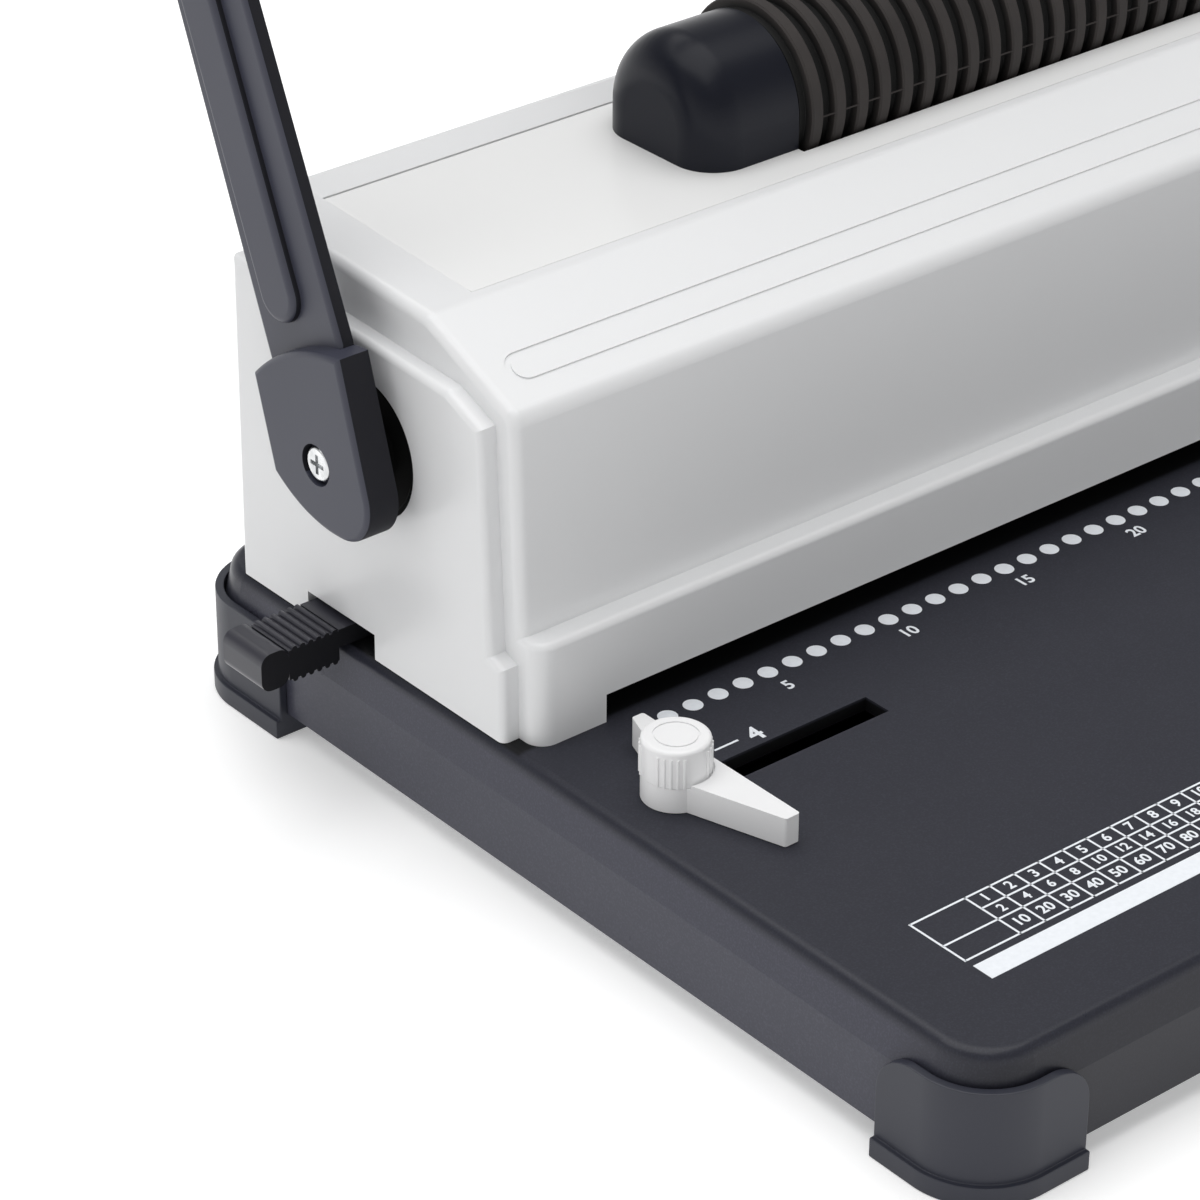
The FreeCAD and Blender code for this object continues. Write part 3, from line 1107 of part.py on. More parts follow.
def guide_shoe():
    """Clamp plate under the table with a key that runs in the slot."""
    top_z = TABLE_Z - BASE_TOP_THICKNESS - FREE_CLEARANCE
    low_z = top_z - GUIDE_SHOE_THICKNESS
    middle_x = GUIDE_X + GUIDE_SHOE_OFFSET
    half_x = GUIDE_SHOE_LENGTH / 2
    half_y = GUIDE_SHOE_WIDTH / 2
    plate = box((middle_x - half_x, middle_x + half_x), (GUIDE_Y - half_y, GUIDE_Y + half_y), (low_z, top_z))
    key_y = (GUIDE_SLOT_REAR_Y - GUIDE_SLOT_FRONT_Y) / 2 - FREE_CLEARANCE
    key_x = GUIDE_KEY_LENGTH / 2
    key_top = TABLE_Z + FREE_CLEARANCE / 2
    key = box((GUIDE_X - key_x, GUIDE_X + key_x), (GUIDE_Y - key_y, GUIDE_Y + key_y), (top_z, key_top))
    bore = rod("z", (GUIDE_X, GUIDE_Y, low_z), STUD_RADIUS + RUNNING_CLEARANCE, key_top - low_z)
    return plate.fuse(key).removeSplitter().cut(bore)


# Chip tray

def chip_tray():
    """Open tray under the die that pulls out to the right."""
    outer_x = BASE_WIDTH / 2 + FREE_CLEARANCE
    trough = box((TRAY_LEFT_X, outer_x), (TRAY_FRONT_Y, TRAY_REAR_Y), (TRAY_Z, TRAY_Z + TRAY_HEIGHT))
    hollow = box((TRAY_LEFT_X + TRAY_WALL, BASE_WIDTH / 2 - BASE_WALL),
                 (TRAY_FRONT_Y + TRAY_WALL, TRAY_REAR_Y - TRAY_WALL),
                 (TRAY_Z + TRAY_WALL, TRAY_Z + TRAY_HEIGHT))
    lap = TRAY_FRONT_LAP
    front = box((outer_x, outer_x + TRAY_FRONT_THICKNESS), (TRAY_FRONT_Y - lap, TRAY_REAR_Y + lap),
                (TRAY_Z - lap / 2, TRAY_Z + TRAY_HEIGHT + lap))
    middle_y = (TRAY_FRONT_Y + TRAY_REAR_Y) / 2
    pull_z = TRAY_Z + TRAY_HEIGHT / 2
    pull = box((outer_x, LEVER_END_X), (middle_y - TRAY_PULL_WIDTH / 2, middle_y + TRAY_PULL_WIDTH / 2),
               (pull_z, pull_z + TRAY_PULL_THICKNESS))
    pull = pull.makeFillet(TRAY_PULL_THICKNESS / 2.5, face_edges(pull, "x", LEVER_END_X))
    return trough.cut(hollow).fuse([front, pull]).removeSplitter()


# Roller and its drive

def roller_sleeve():
    """Ribbed rubber sleeve, turned from one stepped outline."""
    points = [(-ROLLER_HALF, ROLLER_CORE_RADIUS)]
    for rib in range(ROLLER_RIBS):
        x = -ROLLER_HALF + rib * ROLLER_RIB_PITCH
        groove = (ROLLER_RIB_PITCH - ROLLER_RIB_WIDTH) / 2
        points += [(x, ROLLER_GROOVE_RADIUS), (x + groove, ROLLER_GROOVE_RADIUS),
                   (x + groove, ROLLER_RADIUS), (x + groove + ROLLER_RIB_WIDTH, ROLLER_RADIUS),
                   (x + groove + ROLLER_RIB_WIDTH, ROLLER_GROOVE_RADIUS)]
    points += [(ROLLER_HALF, ROLLER_GROOVE_RADIUS), (ROLLER_HALF, ROLLER_CORE_RADIUS)]
    outline = [V(x, ROLLER_Y, ROLLER_Z + r) for x, r in points]
    face = Part.Face(Part.makePolygon(outline + [outline[0]]))
    return face.revolve(V(0, ROLLER_Y, ROLLER_Z), AXIS["x"], 360)


def roller_core():
    return tube("x", (-ROLLER_HALF, ROLLER_Y, ROLLER_Z), ROLLER_CORE_RADIUS, AXLE_RADIUS, 2 * ROLLER_HALF)


def roller_axle():
    end = PULLEY_X + PULLEY_WIDTH + SHAFT_END
    return rod("x", (-end, ROLLER_Y, ROLLER_Z), AXLE_RADIUS, 2 * end)


def roller_bracket(right):
    """Upright ear on the deck that carries the axle inside the cap."""
    x = (-BRACKET_X - BRACKET_THICKNESS, -BRACKET_X)
    ear = box(x, (ROLLER_Y - BRACKET_HALF_WIDTH, ROLLER_Y + BRACKET_HALF_WIDTH), (DECK_Z, ROLLER_Z))
    head = rod("x", (x[0], ROLLER_Y, ROLLER_Z), BRACKET_HALF_WIDTH, BRACKET_THICKNESS)
    head = head.common(box(x, (ROLLER_Y - BRACKET_HALF_WIDTH, ROLLER_Y + BRACKET_HALF_WIDTH),
                           (DECK_Z, ROLLER_Z + BRACKET_HALF_WIDTH)))
    ear = ear.fuse(head).removeSplitter()
    ear = ear.cut(rod("x", (x[0], ROLLER_Y, ROLLER_Z), ROLLER_BUSH_RADIUS, BRACKET_THICKNESS))
    return mirrored(ear) if right else ear


def roller_bush(right):
    bush = tube("x", (-BRACKET_X - BRACKET_THICKNESS, ROLLER_Y, ROLLER_Z), ROLLER_BUSH_RADIUS,
                AXLE_RADIUS + RUNNING_CLEARANCE, BRACKET_THICKNESS)
    return mirrored(bush) if right else bush


def cap_form(half_width, length):
    """Upright walls under a half-round roof, drawn away from the roller's end."""
    x0 = -CAP_INNER_X
    walls = box((x0 - length, x0), (ROLLER_Y - half_width, ROLLER_Y + half_width), (DECK_Z, ROLLER_Z))
    roof = rod("x", (x0 - length, ROLLER_Y, ROLLER_Z), half_width, length)
    roof = roof.common(box((x0 - length, x0), (ROLLER_Y - half_width, ROLLER_Y + half_width),
                           (ROLLER_Z, ROLLER_Z + half_width)))
    return walls.fuse(roof).removeSplitter()


def roller_cap(right):
    cap = cap_form(CAP_HALF_WIDTH, CAP_LENGTH)
    outer_x = -CAP_INNER_X - CAP_LENGTH
    edges = [e for e in face_edges(cap, "x", outer_x) if e.CenterOfMass.z > DECK_Z + 0.1]
    cap = cap.makeFillet(CAP_END_RADIUS, edges)
    cap = cap.cut(cap_form(CAP_HALF_WIDTH - CAP_WALL, CAP_LENGTH - 2 * CAP_WALL))
    return mirrored(cap) if right else cap


def pulley(radius, bore, y, z):
    """Flat belt pulley with two rims."""
    x = PULLEY_X
    wheel = rod("x", (x, y, z), radius, PULLEY_WIDTH)
    rims = [rod("x", (rim_x, y, z), radius + BELT_THICKNESS, PULLEY_RIM)
            for rim_x in (x - PULLEY_RIM, x + PULLEY_WIDTH)]
    hole = rod("x", (x - PULLEY_RIM, y, z), bore, PULLEY_WIDTH + 2 * PULLEY_RIM)
    return wheel.fuse(rims).removeSplitter().cut(hole)


def belt_form(grow):
    """Outline of two discs joined by their outer tangents, as wide as the belt."""
    r1 = PULLEY_RADIUS + grow
    r2 = MOTOR_PULLEY_RADIUS + grow
    dy = MOTOR_Y - ROLLER_Y
    dz = MOTOR_Z - ROLLER_Z
    distance = math.hypot(dy, dz)
    along = math.atan2(dz, dy)
    swing = math.acos((r1 - r2) / distance)
    corners = []
    for angle, order in ((along + swing, 1), (along - swing, -1)):
        pair = [(ROLLER_Y + r1 * math.cos(angle), ROLLER_Z + r1 * math.sin(angle)),
                (MOTOR_Y + r2 * math.cos(angle), MOTOR_Z + r2 * math.sin(angle))]
        corners += pair[::order]
    width = PULLEY_WIDTH - 2 * FREE_CLEARANCE
    x0 = PULLEY_X + FREE_CLEARANCE
    middle = profile_x(corners, x0, x0 + width)
    discs = [rod("x", (x0, ROLLER_Y, ROLLER_Z), r1, width), rod("x", (x0, MOTOR_Y, MOTOR_Z), r2, width)]
    return middle.fuse(discs).removeSplitter()


def drive_belt():
    return belt_form(FREE_CLEARANCE + BELT_THICKNESS).cut(belt_form(FREE_CLEARANCE))


def motor():
    body = rod("x", (MOTOR_FACE_X - MOTOR_LENGTH, MOTOR_Y, MOTOR_Z), MOTOR_RADIUS, MOTOR_LENGTH)
    body = body.makeFillet(MOTOR_EDGE_RADIUS, face_edges(body, "x", MOTOR_FACE_X - MOTOR_LENGTH))
    return body.cut(rod("x", (MOTOR_FACE_X - MOTOR_SHAFT_DEPTH, MOTOR_Y, MOTOR_Z),
                        MOTOR_SHAFT_RADIUS + RUNNING_CLEARANCE, MOTOR_SHAFT_DEPTH))


def motor_bracket():
    """Angle bracket on the table that holds the motor by its end face."""
    outer_x = MOTOR_FACE_X + BRACKET_THICKNESS
    span_y = (MOTOR_Y - MOTOR_RADIUS, MOTOR_Y + MOTOR_RADIUS)
    upright = box((MOTOR_FACE_X, outer_x), span_y, (TABLE_Z, MOTOR_Z + MOTOR_RADIUS))
    foot = box((outer_x - MOTOR_LENGTH, outer_x), span_y, (TABLE_Z, TABLE_Z + BRACKET_THICKNESS))
    hole = rod("x", (MOTOR_FACE_X, MOTOR_Y, MOTOR_Z), 2 * MOTOR_SHAFT_RADIUS, BRACKET_THICKNESS)
    return upright.fuse(foot).removeSplitter().cut(hole)


def motor_shaft():
    start = MOTOR_FACE_X - MOTOR_SHAFT_DEPTH + FREE_CLEARANCE
    end = PULLEY_X + PULLEY_WIDTH + SHAFT_END
    return rod("x", (start, MOTOR_Y, MOTOR_Z), MOTOR_SHAFT_RADIUS, end - start)


# Switch and inlet

def switch_housing():
    z = TABLE_Z + SWITCH_HEIGHT
    half_x = SWITCH_WIDTH / 2
    half_z = SWITCH_TALL / 2
    lip = SWITCH_BEZEL
    body = box((SWITCH_X - half_x, SWITCH_X + half_x), (COVER_REAR_Y - SWITCH_DEPTH, COVER_REAR_Y),
               (z - half_z, z + half_z))
    bezel = box((SWITCH_X - half_x - lip, SWITCH_X + half_x + lip), (COVER_REAR_Y, COVER_REAR_Y + lip),
                (z - half_z - lip, z + half_z + lip))
    bezel = bezel.makeFillet(BEZEL_EDGE_RADIUS, face_edges(bezel, "y", COVER_REAR_Y + lip))
    gap = FREE_CLEARANCE
    well = box((SWITCH_X - ROCKER_HALF_WIDTH - gap, SWITCH_X + ROCKER_HALF_WIDTH + gap),
               (COVER_REAR_Y - SWITCH_DEPTH + SWITCH_FLOOR, COVER_REAR_Y + lip),
               (z - ROCKER_HALF_TALL - SWITCH_WELL_CLEARANCE, z + ROCKER_HALF_TALL + SWITCH_WELL_CLEARANCE))
    pivot_y = COVER_REAR_Y - ROCKER_PIVOT_DEPTH
    bore = rod("x", (SWITCH_X - half_x, pivot_y, z), ROCKER_PIN_RADIUS + RUNNING_CLEARANCE, SWITCH_WIDTH)
    return body.fuse(bezel).removeSplitter().cut([well, bore])


def switch_rocker():
    """Rocker with a shallow V face on a pivot pin, lying in its off position."""
    z = TABLE_Z + SWITCH_HEIGHT
    pivot_y = COVER_REAR_Y - ROCKER_PIVOT_DEPTH
    tall = ROCKER_HALF_TALL
    face_y = ROCKER_PIVOT_DEPTH + SWITCH_BEZEL
    back_tall = tall - ROCKER_BACK_TAPER
    outline = [(-ROCKER_BACK_DEPTH, -back_tall), (face_y + ROCKER_DISH, -tall), (face_y, 0),
               (face_y + ROCKER_DISH, tall), (-ROCKER_BACK_DEPTH, back_tall)]
    rocker = profile_x([(pivot_y + y, z + dz) for y, dz in outline], SWITCH_X - ROCKER_HALF_WIDTH,
                       SWITCH_X + ROCKER_HALF_WIDTH)
    pin_half = SWITCH_WIDTH / 2 - FREE_CLEARANCE
    pin = rod("x", (SWITCH_X - pin_half, pivot_y, z), ROCKER_PIN_RADIUS, 2 * pin_half)
    rocker = rocker.fuse(pin).removeSplitter()
    rocker.rotate(V(SWITCH_X, pivot_y, z), AXIS["x"], -SWITCH_TILT)
    return rocker


def power_inlet():
    """Two-pin appliance inlet in the rear wall."""
    z = TABLE_Z + INLET_HEIGHT
    half_x = INLET_WIDTH / 2
    half_z = INLET_TALL / 2
    body = box((INLET_X - half_x, INLET_X + half_x), (COVER_REAR_Y - INLET_DEPTH, COVER_REAR_Y),
               (z - half_z, z + half_z))
    lip = SWITCH_BEZEL
    bezel = box((INLET_X - half_x - lip, INLET_X + half_x + lip), (COVER_REAR_Y, COVER_REAR_Y + lip),
                (z - half_z - lip, z + half_z + lip))
    bezel = bezel.makeFillet(BEZEL_EDGE_RADIUS, face_edges(bezel, "y", COVER_REAR_Y + lip))
    floor_y = COVER_REAR_Y + lip - INLET_SOCKET_DEPTH
    spacing = INLET_PIN_SPACING / 2
    socket = stadium("y", (INLET_X - spacing, floor_y, z), (INLET_X + spacing, floor_y, z),
                     INLET_SOCKET_RADIUS, INLET_SOCKET_DEPTH)
    pins = [rod("y", (x, floor_y, z), INLET_PIN_RADIUS, INLET_SOCKET_DEPTH - INLET_PIN_BELOW_RIM)
            for x in (INLET_X - spacing, INLET_X + spacing)]
    return body.fuse(bezel).removeSplitter().cut(socket).fuse(pins).removeSplitter()


def build():
    os.makedirs("parts", exist_ok=True)
    save("base_shell", base_shell())
    save("bottom_plate", bottom_plate())
    save("base_screws", *base_screws())
    for rear in (False, True):
        for right in (False, True):
            name = "foot_" + ("rear" if rear else "front") + "_" + ("right" if right else "left")
            save(name, corner_foot(right, rear))
    save("top_cover", top_cover())
    save("deck_plate", deck_plate())
    for side, right in (("left", False), ("right", True)):
        save(side + "_side_panel", side_panel(right))
        save(side + "_side_frame", side_frame(right))
        save(side + "_handle_arm", handle_arm(right))
        save(side + "_hub_cover", hub_cover(right))
        save(side + "_roller_cap", roller_cap(right))
    save("hub_screws", hub_screw(False), hub_screw(True))
    save("shaft_bushes", shaft_bush(False), shaft_bush(True))
    save("drive_pinions", pinion(False), pinion(True))
    save("punch_racks", rack(False), rack(True))
    save("roller_brackets", roller_bracket(False), roller_bracket(True))
    save("roller_bushes", roller_bush(False), roller_bush(True))
    save("frame_screws", *frame_screws())
    save("die_plate", die_plate())
    save("punch_guide_plate", punch_guide_plate())
    save("tie_bar", tie_bar())
    save("drive_shaft", drive_shaft())
    save("crossbar", crossbar())
    save("handle_grip", handle_grip())
    save("crossbar_screws", *crossbar_screws())
    save("punch_bar", punch_bar())
    save("punch_pins", *punch_pins())
    save("clamp_bar", clamp_bar())
    save("guide_posts", *guide_posts())
    save("return_springs", *return_springs())
    save("stop_bar", stop_bar())
    save("stop_screws", *stop_screws())
    save("margin_lever", margin_lever())
    save("edge_guide", edge_guide())
    save("guide_knob", guide_knob())
    save("guide_stud", guide_stud())
    save("guide_shoe", guide_shoe())
    save("chip_tray", chip_tray())
    save("roller_sleeve", roller_sleeve())
    save("roller_core", roller_core())
    save("roller_axle", roller_axle())
    save("roller_pulley", pulley(PULLEY_RADIUS, AXLE_RADIUS, ROLLER_Y, ROLLER_Z))
    save("drive_belt", drive_belt())
    save("motor", motor())
    save("motor_bracket", motor_bracket())
    save("motor_shaft", motor_shaft())
    save("motor_pulley", pulley(MOTOR_PULLEY_RADIUS, MOTOR_SHAFT_RADIUS, MOTOR_Y, MOTOR_Z))
    save("switch_housing", switch_housing())
    save("switch_rocker", switch_rocker())
    save("power_inlet", power_inlet())


build()
for node_name, node_shape in SAVED.items():
    print(node_name, len(node_shape.Solids), round(node_shape.Volume, 1), node_shape.isValid())
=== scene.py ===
# %% [markdown]
# # A desk punch-and-bind machine
# The real machine is a dark steel base with a white punch housing on it, a ribbed rubber roller that spins
# coils into the punched sheets, and a long handle with an arm at each side. The CAD model already has every
# working piece in its place, so here it stays as the frame. This lesson adds the camera, the light, a
# finish for each material, the printed marks on the base and finer forms for the pieces that the eye falls
# on first.

# %% Load the frame
import json
import math

import bpy
from mathutils import Matrix, Vector


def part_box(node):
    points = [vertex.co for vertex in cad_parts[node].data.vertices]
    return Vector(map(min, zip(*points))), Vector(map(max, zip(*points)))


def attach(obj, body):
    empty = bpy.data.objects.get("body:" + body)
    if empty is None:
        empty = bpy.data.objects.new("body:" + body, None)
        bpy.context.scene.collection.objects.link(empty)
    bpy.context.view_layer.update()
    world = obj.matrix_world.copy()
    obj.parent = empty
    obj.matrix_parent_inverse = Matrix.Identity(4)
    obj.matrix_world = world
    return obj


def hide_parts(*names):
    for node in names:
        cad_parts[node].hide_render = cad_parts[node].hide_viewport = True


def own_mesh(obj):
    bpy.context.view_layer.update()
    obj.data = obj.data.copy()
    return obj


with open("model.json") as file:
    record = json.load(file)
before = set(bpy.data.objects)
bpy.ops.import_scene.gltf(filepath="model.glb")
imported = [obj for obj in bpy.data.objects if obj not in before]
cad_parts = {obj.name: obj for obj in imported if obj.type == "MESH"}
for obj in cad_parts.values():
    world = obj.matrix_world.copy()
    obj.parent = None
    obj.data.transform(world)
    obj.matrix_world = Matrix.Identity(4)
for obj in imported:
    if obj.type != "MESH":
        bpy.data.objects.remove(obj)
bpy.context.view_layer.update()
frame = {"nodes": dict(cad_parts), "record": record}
nodes = frame["nodes"]
bpy.ops.object.select_all(action="DESELECT")

# %% [markdown]
# ## A place to measure from
# The row of printed marks on the base is the ruler of the whole machine: it has one mark for each hole,
# 6.25 mm apart. Places could be written in the frame's own metres, but they were read from the photograph
# as millimetres from the first mark: along the row, behind it and above the table. So one function turns
# those into the frame's metres. It takes the table and the die from the frame.

# %% Measure from the first printed mark
MM = 0.001
MARK_COUNT = 46
MARK_PITCH = 6.25
DIE_BEHIND_MARKS = 38.0
die_low, die_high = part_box("die_plate")
table_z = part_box("base_shell")[1].z
first_mark = Vector((-(MARK_COUNT - 1) / 2 * MARK_PITCH * MM,
                     (die_low.y + die_high.y) / 2 - DIE_BEHIND_MARKS * MM, table_z))


def at(along, behind, above=0.0):
    return first_mark + Vector((along, behind, above)) * MM


print("first mark", tuple(round(v, 4) for v in first_mark))

# %% [markdown]
# ## Camera
# The photograph looks down on the left front corner with a long lens, so the lines that run away stay
# almost parallel. A camera can be aimed by eye until the edges agree, but here its angles, its place and
# its lens were solved from the printed marks, which is closer. It is turned in three steps: tilt from
# straight down, turn about the upright axis, and a hair of roll.

# %% Camera
CAMERA_TURN = -39.552
CAMERA_HEIGHT_ANGLE = 30.396
CAMERA_ROLL = 0.202
CAMERA_PLACE = (-457.0, -533.3, 437.1)
FOCAL_PIXELS = 4406.05
PHOTO_PIXELS = 1200
SENSOR = 36.0
CLIP_START = 0.05
camera_data = bpy.data.cameras.new("photo_camera")
camera_data.sensor_width = SENSOR
camera_data.lens = FOCAL_PIXELS / PHOTO_PIXELS * SENSOR
camera_data.clip_start = CLIP_START
camera = bpy.data.objects.new("photo_camera", camera_data)
bpy.context.scene.collection.objects.link(camera)
turn = Matrix.Rotation(math.radians(CAMERA_TURN), 4, "Z")
tilt = Matrix.Rotation(math.radians(90 - CAMERA_HEIGHT_ANGLE), 4, "X")
roll = Matrix.Rotation(math.radians(CAMERA_ROLL), 4, "Z")
camera.matrix_world = Matrix.Translation(at(*CAMERA_PLACE)) @ turn @ tilt @ roll
bpy.context.scene.camera = camera
print("lens", round(camera_data.lens, 2), "mm")

# %% [markdown]
# ## Floor
# The machine stands on white paper with a soft shadow under it. A plain white plane turns grey wherever
# less light falls on it, and more light would wash the machine out. So the paper also glows a little, but
# only for the eye, for reflections and for glass, and more so far from the lamps. It looks white, keeps the
# shadow and throws no more light on the machine.

# %% Floor
bpy.context.scene.view_settings.view_transform = "Standard"
FLOOR_SIZE = 8.0
FLOOR_COLOUR = (0.92, 0.92, 0.92, 1)
FLOOR_ROUGHNESS = 0.9
FLOOR_LIFT = 0.26
FLOOR_NEAR = 0.7
FLOOR_FAR = 1.8
bpy.ops.mesh.primitive_plane_add(size=FLOOR_SIZE, location=(0, 0, 0))
floor = bpy.context.object
floor.name = "studio_floor"
paper = bpy.data.materials.new("studio_paper")
paper.use_nodes = True
paper_shader = paper.node_tree.nodes["Principled BSDF"]
paper_shader.inputs["Base Color"].default_value = FLOOR_COLOUR
paper_shader.inputs["Roughness"].default_value = FLOOR_ROUGHNESS
paper_shader.inputs["Specular IOR Level"].default_value = 0.0
paper_shader.inputs["Emission Color"].default_value = (1, 1, 1, 1)


def lift_floor(tree, target):
    """Glow for the eye, reflections and glass, more so far from the middle."""
    rays = tree.nodes.new("ShaderNodeLightPath")
    kind = rays.outputs["Is Camera Ray"]
    for other in ("Is Glossy Ray", "Is Transmission Ray"):
        either = tree.nodes.new("ShaderNodeMath")
        either.operation = "MAXIMUM"
        tree.links.new(kind, either.inputs[0])
        tree.links.new(rays.outputs[other], either.inputs[1])
        kind = either.outputs[0]
    place = tree.nodes.new("ShaderNodeTexCoord")
    distance = tree.nodes.new("ShaderNodeVectorMath")
    distance.operation = "LENGTH"
    tree.links.new(place.outputs["Object"], distance.inputs[0])
    reach = tree.nodes.new("ShaderNodeMapRange")
    reach.inputs["From Min"].default_value = FLOOR_NEAR
    reach.inputs["From Max"].default_value = FLOOR_FAR
    reach.inputs["To Min"].default_value = FLOOR_LIFT
    tree.links.new(distance.outputs["Value"], reach.inputs["Value"])
    level = tree.nodes.new("ShaderNodeMath")
    level.operation = "MULTIPLY"
    tree.links.new(kind, level.inputs[0])
    tree.links.new(reach.outputs["Result"], level.inputs[1])
    tree.links.new(level.outputs[0], target)


lift_floor(paper.node_tree, paper_shader.inputs["Emission Strength"])
floor.data.materials.append(paper)
print("floor", FLOOR_SIZE, "m wide")

# %% [markdown]
# ## Studio light
# The photograph was taken in a white studio: a broad light from above, some at the left, and little from
# the front, so that the front of the housing is the darkest white face. Many small lamps would leave many
# small highlights, so two large area lamps do it here. The world is white round the horizon and grey
# overhead, so that dark surfaces have something to reflect.

# %% World and lamps
HORIZON_END = 0.14
OVERHEAD_START = 0.42
OVERHEAD_GREY = 0.3
MACHINE_MIDDLE = (0, 0, 0.06)


def white_world():
    world = bpy.data.worlds.new("studio_world")
    bpy.context.scene.world = world
    world.use_nodes = True
    tree = world.node_tree
    background = tree.nodes["Background"]
    background.inputs["Strength"].default_value = 1.0
    direction = tree.nodes.new("ShaderNodeTexCoord")
    split = tree.nodes.new("ShaderNodeSeparateXYZ")
    sky = tree.nodes.new("ShaderNodeValToRGB")
    sky.color_ramp.elements[0].position = HORIZON_END
    sky.color_ramp.elements[1].position = OVERHEAD_START
    sky.color_ramp.elements[0].color = (1, 1, 1, 1)
    sky.color_ramp.elements[1].color = (OVERHEAD_GREY, OVERHEAD_GREY, OVERHEAD_GREY, 1)
    tree.links.new(direction.outputs["Generated"], split.inputs[0])
    tree.links.new(split.outputs["Z"], sky.inputs["Fac"])
    tree.links.new(sky.outputs["Color"], background.inputs["Color"])


def soft_box(name, place, size, watts):
    lamp = bpy.data.lights.new(name, "AREA")
    lamp.shape = "RECTANGLE"
    lamp.size, lamp.size_y = size
    lamp.energy = watts
    holder = bpy.data.objects.new(name, lamp)
    bpy.context.scene.collection.objects.link(holder)
    holder.location = place
    aim = Vector(MACHINE_MIDDLE) - Vector(place)
    holder.rotation_euler = aim.to_track_quat("-Z", "Y").to_euler()


white_world()
soft_box("lamp_above", place=(-0.1, 0.28, 1.9), size=(2.6, 2.4), watts=42)
soft_box("lamp_left", place=(-1.9, 0.25, 0.9), size=(1.4, 1.4), watts=1.4)

# %% [markdown]
# ## Tools for the finishes
# Every finish starts from one shader. A real surface has small differences: clouds of tone, a roughness
# that is never quite even, and grain that catches the light. Painted pictures could carry them, but noise
# needs no file and stays sharp close by. It reads the object's own coordinates in metres, so its scale is a
# real size: a scale of 1000 makes grains about a millimetre wide.

# %% Tools for the finishes
NOISE_LOW = 0.3
NOISE_HIGH = 0.7


def start_finish(name):
    finish = bpy.data.materials.new(name)
    finish.use_nodes = True
    return finish, finish.node_tree, finish.node_tree.nodes["Principled BSDF"]


def noise(tree, scale, detail=2.0, stretch=None):
    place = tree.nodes.new("ShaderNodeTexCoord")
    texture = tree.nodes.new("ShaderNodeTexNoise")
    texture.inputs["Scale"].default_value = scale
    texture.inputs["Detail"].default_value = detail
    source = place.outputs["Object"]
    if stretch:
        mapping = tree.nodes.new("ShaderNodeMapping")
        mapping.inputs["Scale"].default_value = stretch
        tree.links.new(source, mapping.inputs["Vector"])
        source = mapping.outputs["Vector"]
    tree.links.new(source, texture.inputs["Vector"])
    return texture.outputs["Fac"]


def spread(tree, value, low, high, target):
    """Stretch the middle of a noise over a range and feed it to a socket."""
    node = tree.nodes.new("ShaderNodeMapRange")
    node.inputs["From Min"].default_value = NOISE_LOW
    node.inputs["From Max"].default_value = NOISE_HIGH
    node.inputs["To Min"].default_value = low
    node.inputs["To Max"].default_value = high
    tree.links.new(value, node.inputs["Value"])
    tree.links.new(node.outputs["Result"], target)


def tones(tree, value, dark, light, target, low=NOISE_LOW, high=NOISE_HIGH):
    """Two colours with a noise between them."""
    ramp = tree.nodes.new("ShaderNodeValToRGB")
    ramp.color_ramp.elements[0].position = low
    ramp.color_ramp.elements[1].position = high
    ramp.color_ramp.elements[0].color = (*dark, 1)
    ramp.color_ramp.elements[1].color = (*light, 1)
    tree.links.new(value, ramp.inputs["Fac"])
    tree.links.new(ramp.outputs["Color"], target)


def relief(tree, shader, height, strength, depth):
    """Grain that bends the light: depth is the real height in millimetres."""
    bump = tree.nodes.new("ShaderNodeBump")
    bump.inputs["Strength"].default_value = strength
    bump.inputs["Distance"].default_value = depth * MM
    tree.links.new(height, bump.inputs["Height"])
    tree.links.new(bump.outputs["Normal"], shader.inputs["Normal"])


def shade(colour, factor):
    return tuple(min(1.0, c * factor) for c in colour)


print("finish tools", [tool.__name__ for tool in (noise, spread, tones, relief, shade)])

# %% [markdown]
# ## Plastics
# The housing is smooth off-white ABS, the feet, the handle and the roller caps are charcoal with a fine
# moulded grain, and the margin lever is blacker and glossier. Each could have its own material by hand, but
# they differ only in colour, gloss and grain, so one function serves them all. The faces of the handle and of
# the lever that turn to the front or rear get a darker copy of their finish, which is painted shade, with a
# coarser grain. A slow noise keeps large faces from looking like flat paint.

# %% Plastics
CLOUD_SCALE = 14
SHEEN_SCALE = 30
SHEEN_SHARE = 0.4
GRAIN_STRENGTH = 0.6
PLAIN_SPECULAR = 0.5


def moulded(name, colour, variation, roughness, grain_scale, grain_depth, specular=PLAIN_SPECULAR):
    finish, tree, shader = start_finish(name)
    tones(tree, noise(tree, CLOUD_SCALE, 3), shade(colour, 1 - variation), shade(colour, 1 + variation),
          shader.inputs["Base Color"])
    sheen = SHEEN_SHARE * variation
    spread(tree, noise(tree, SHEEN_SCALE, 1), roughness - sheen, roughness + sheen,
           shader.inputs["Roughness"])
    relief(tree, shader, noise(tree, grain_scale, 2), GRAIN_STRENGTH, grain_depth)
    shader.inputs["Specular IOR Level"].default_value = specular
    return finish


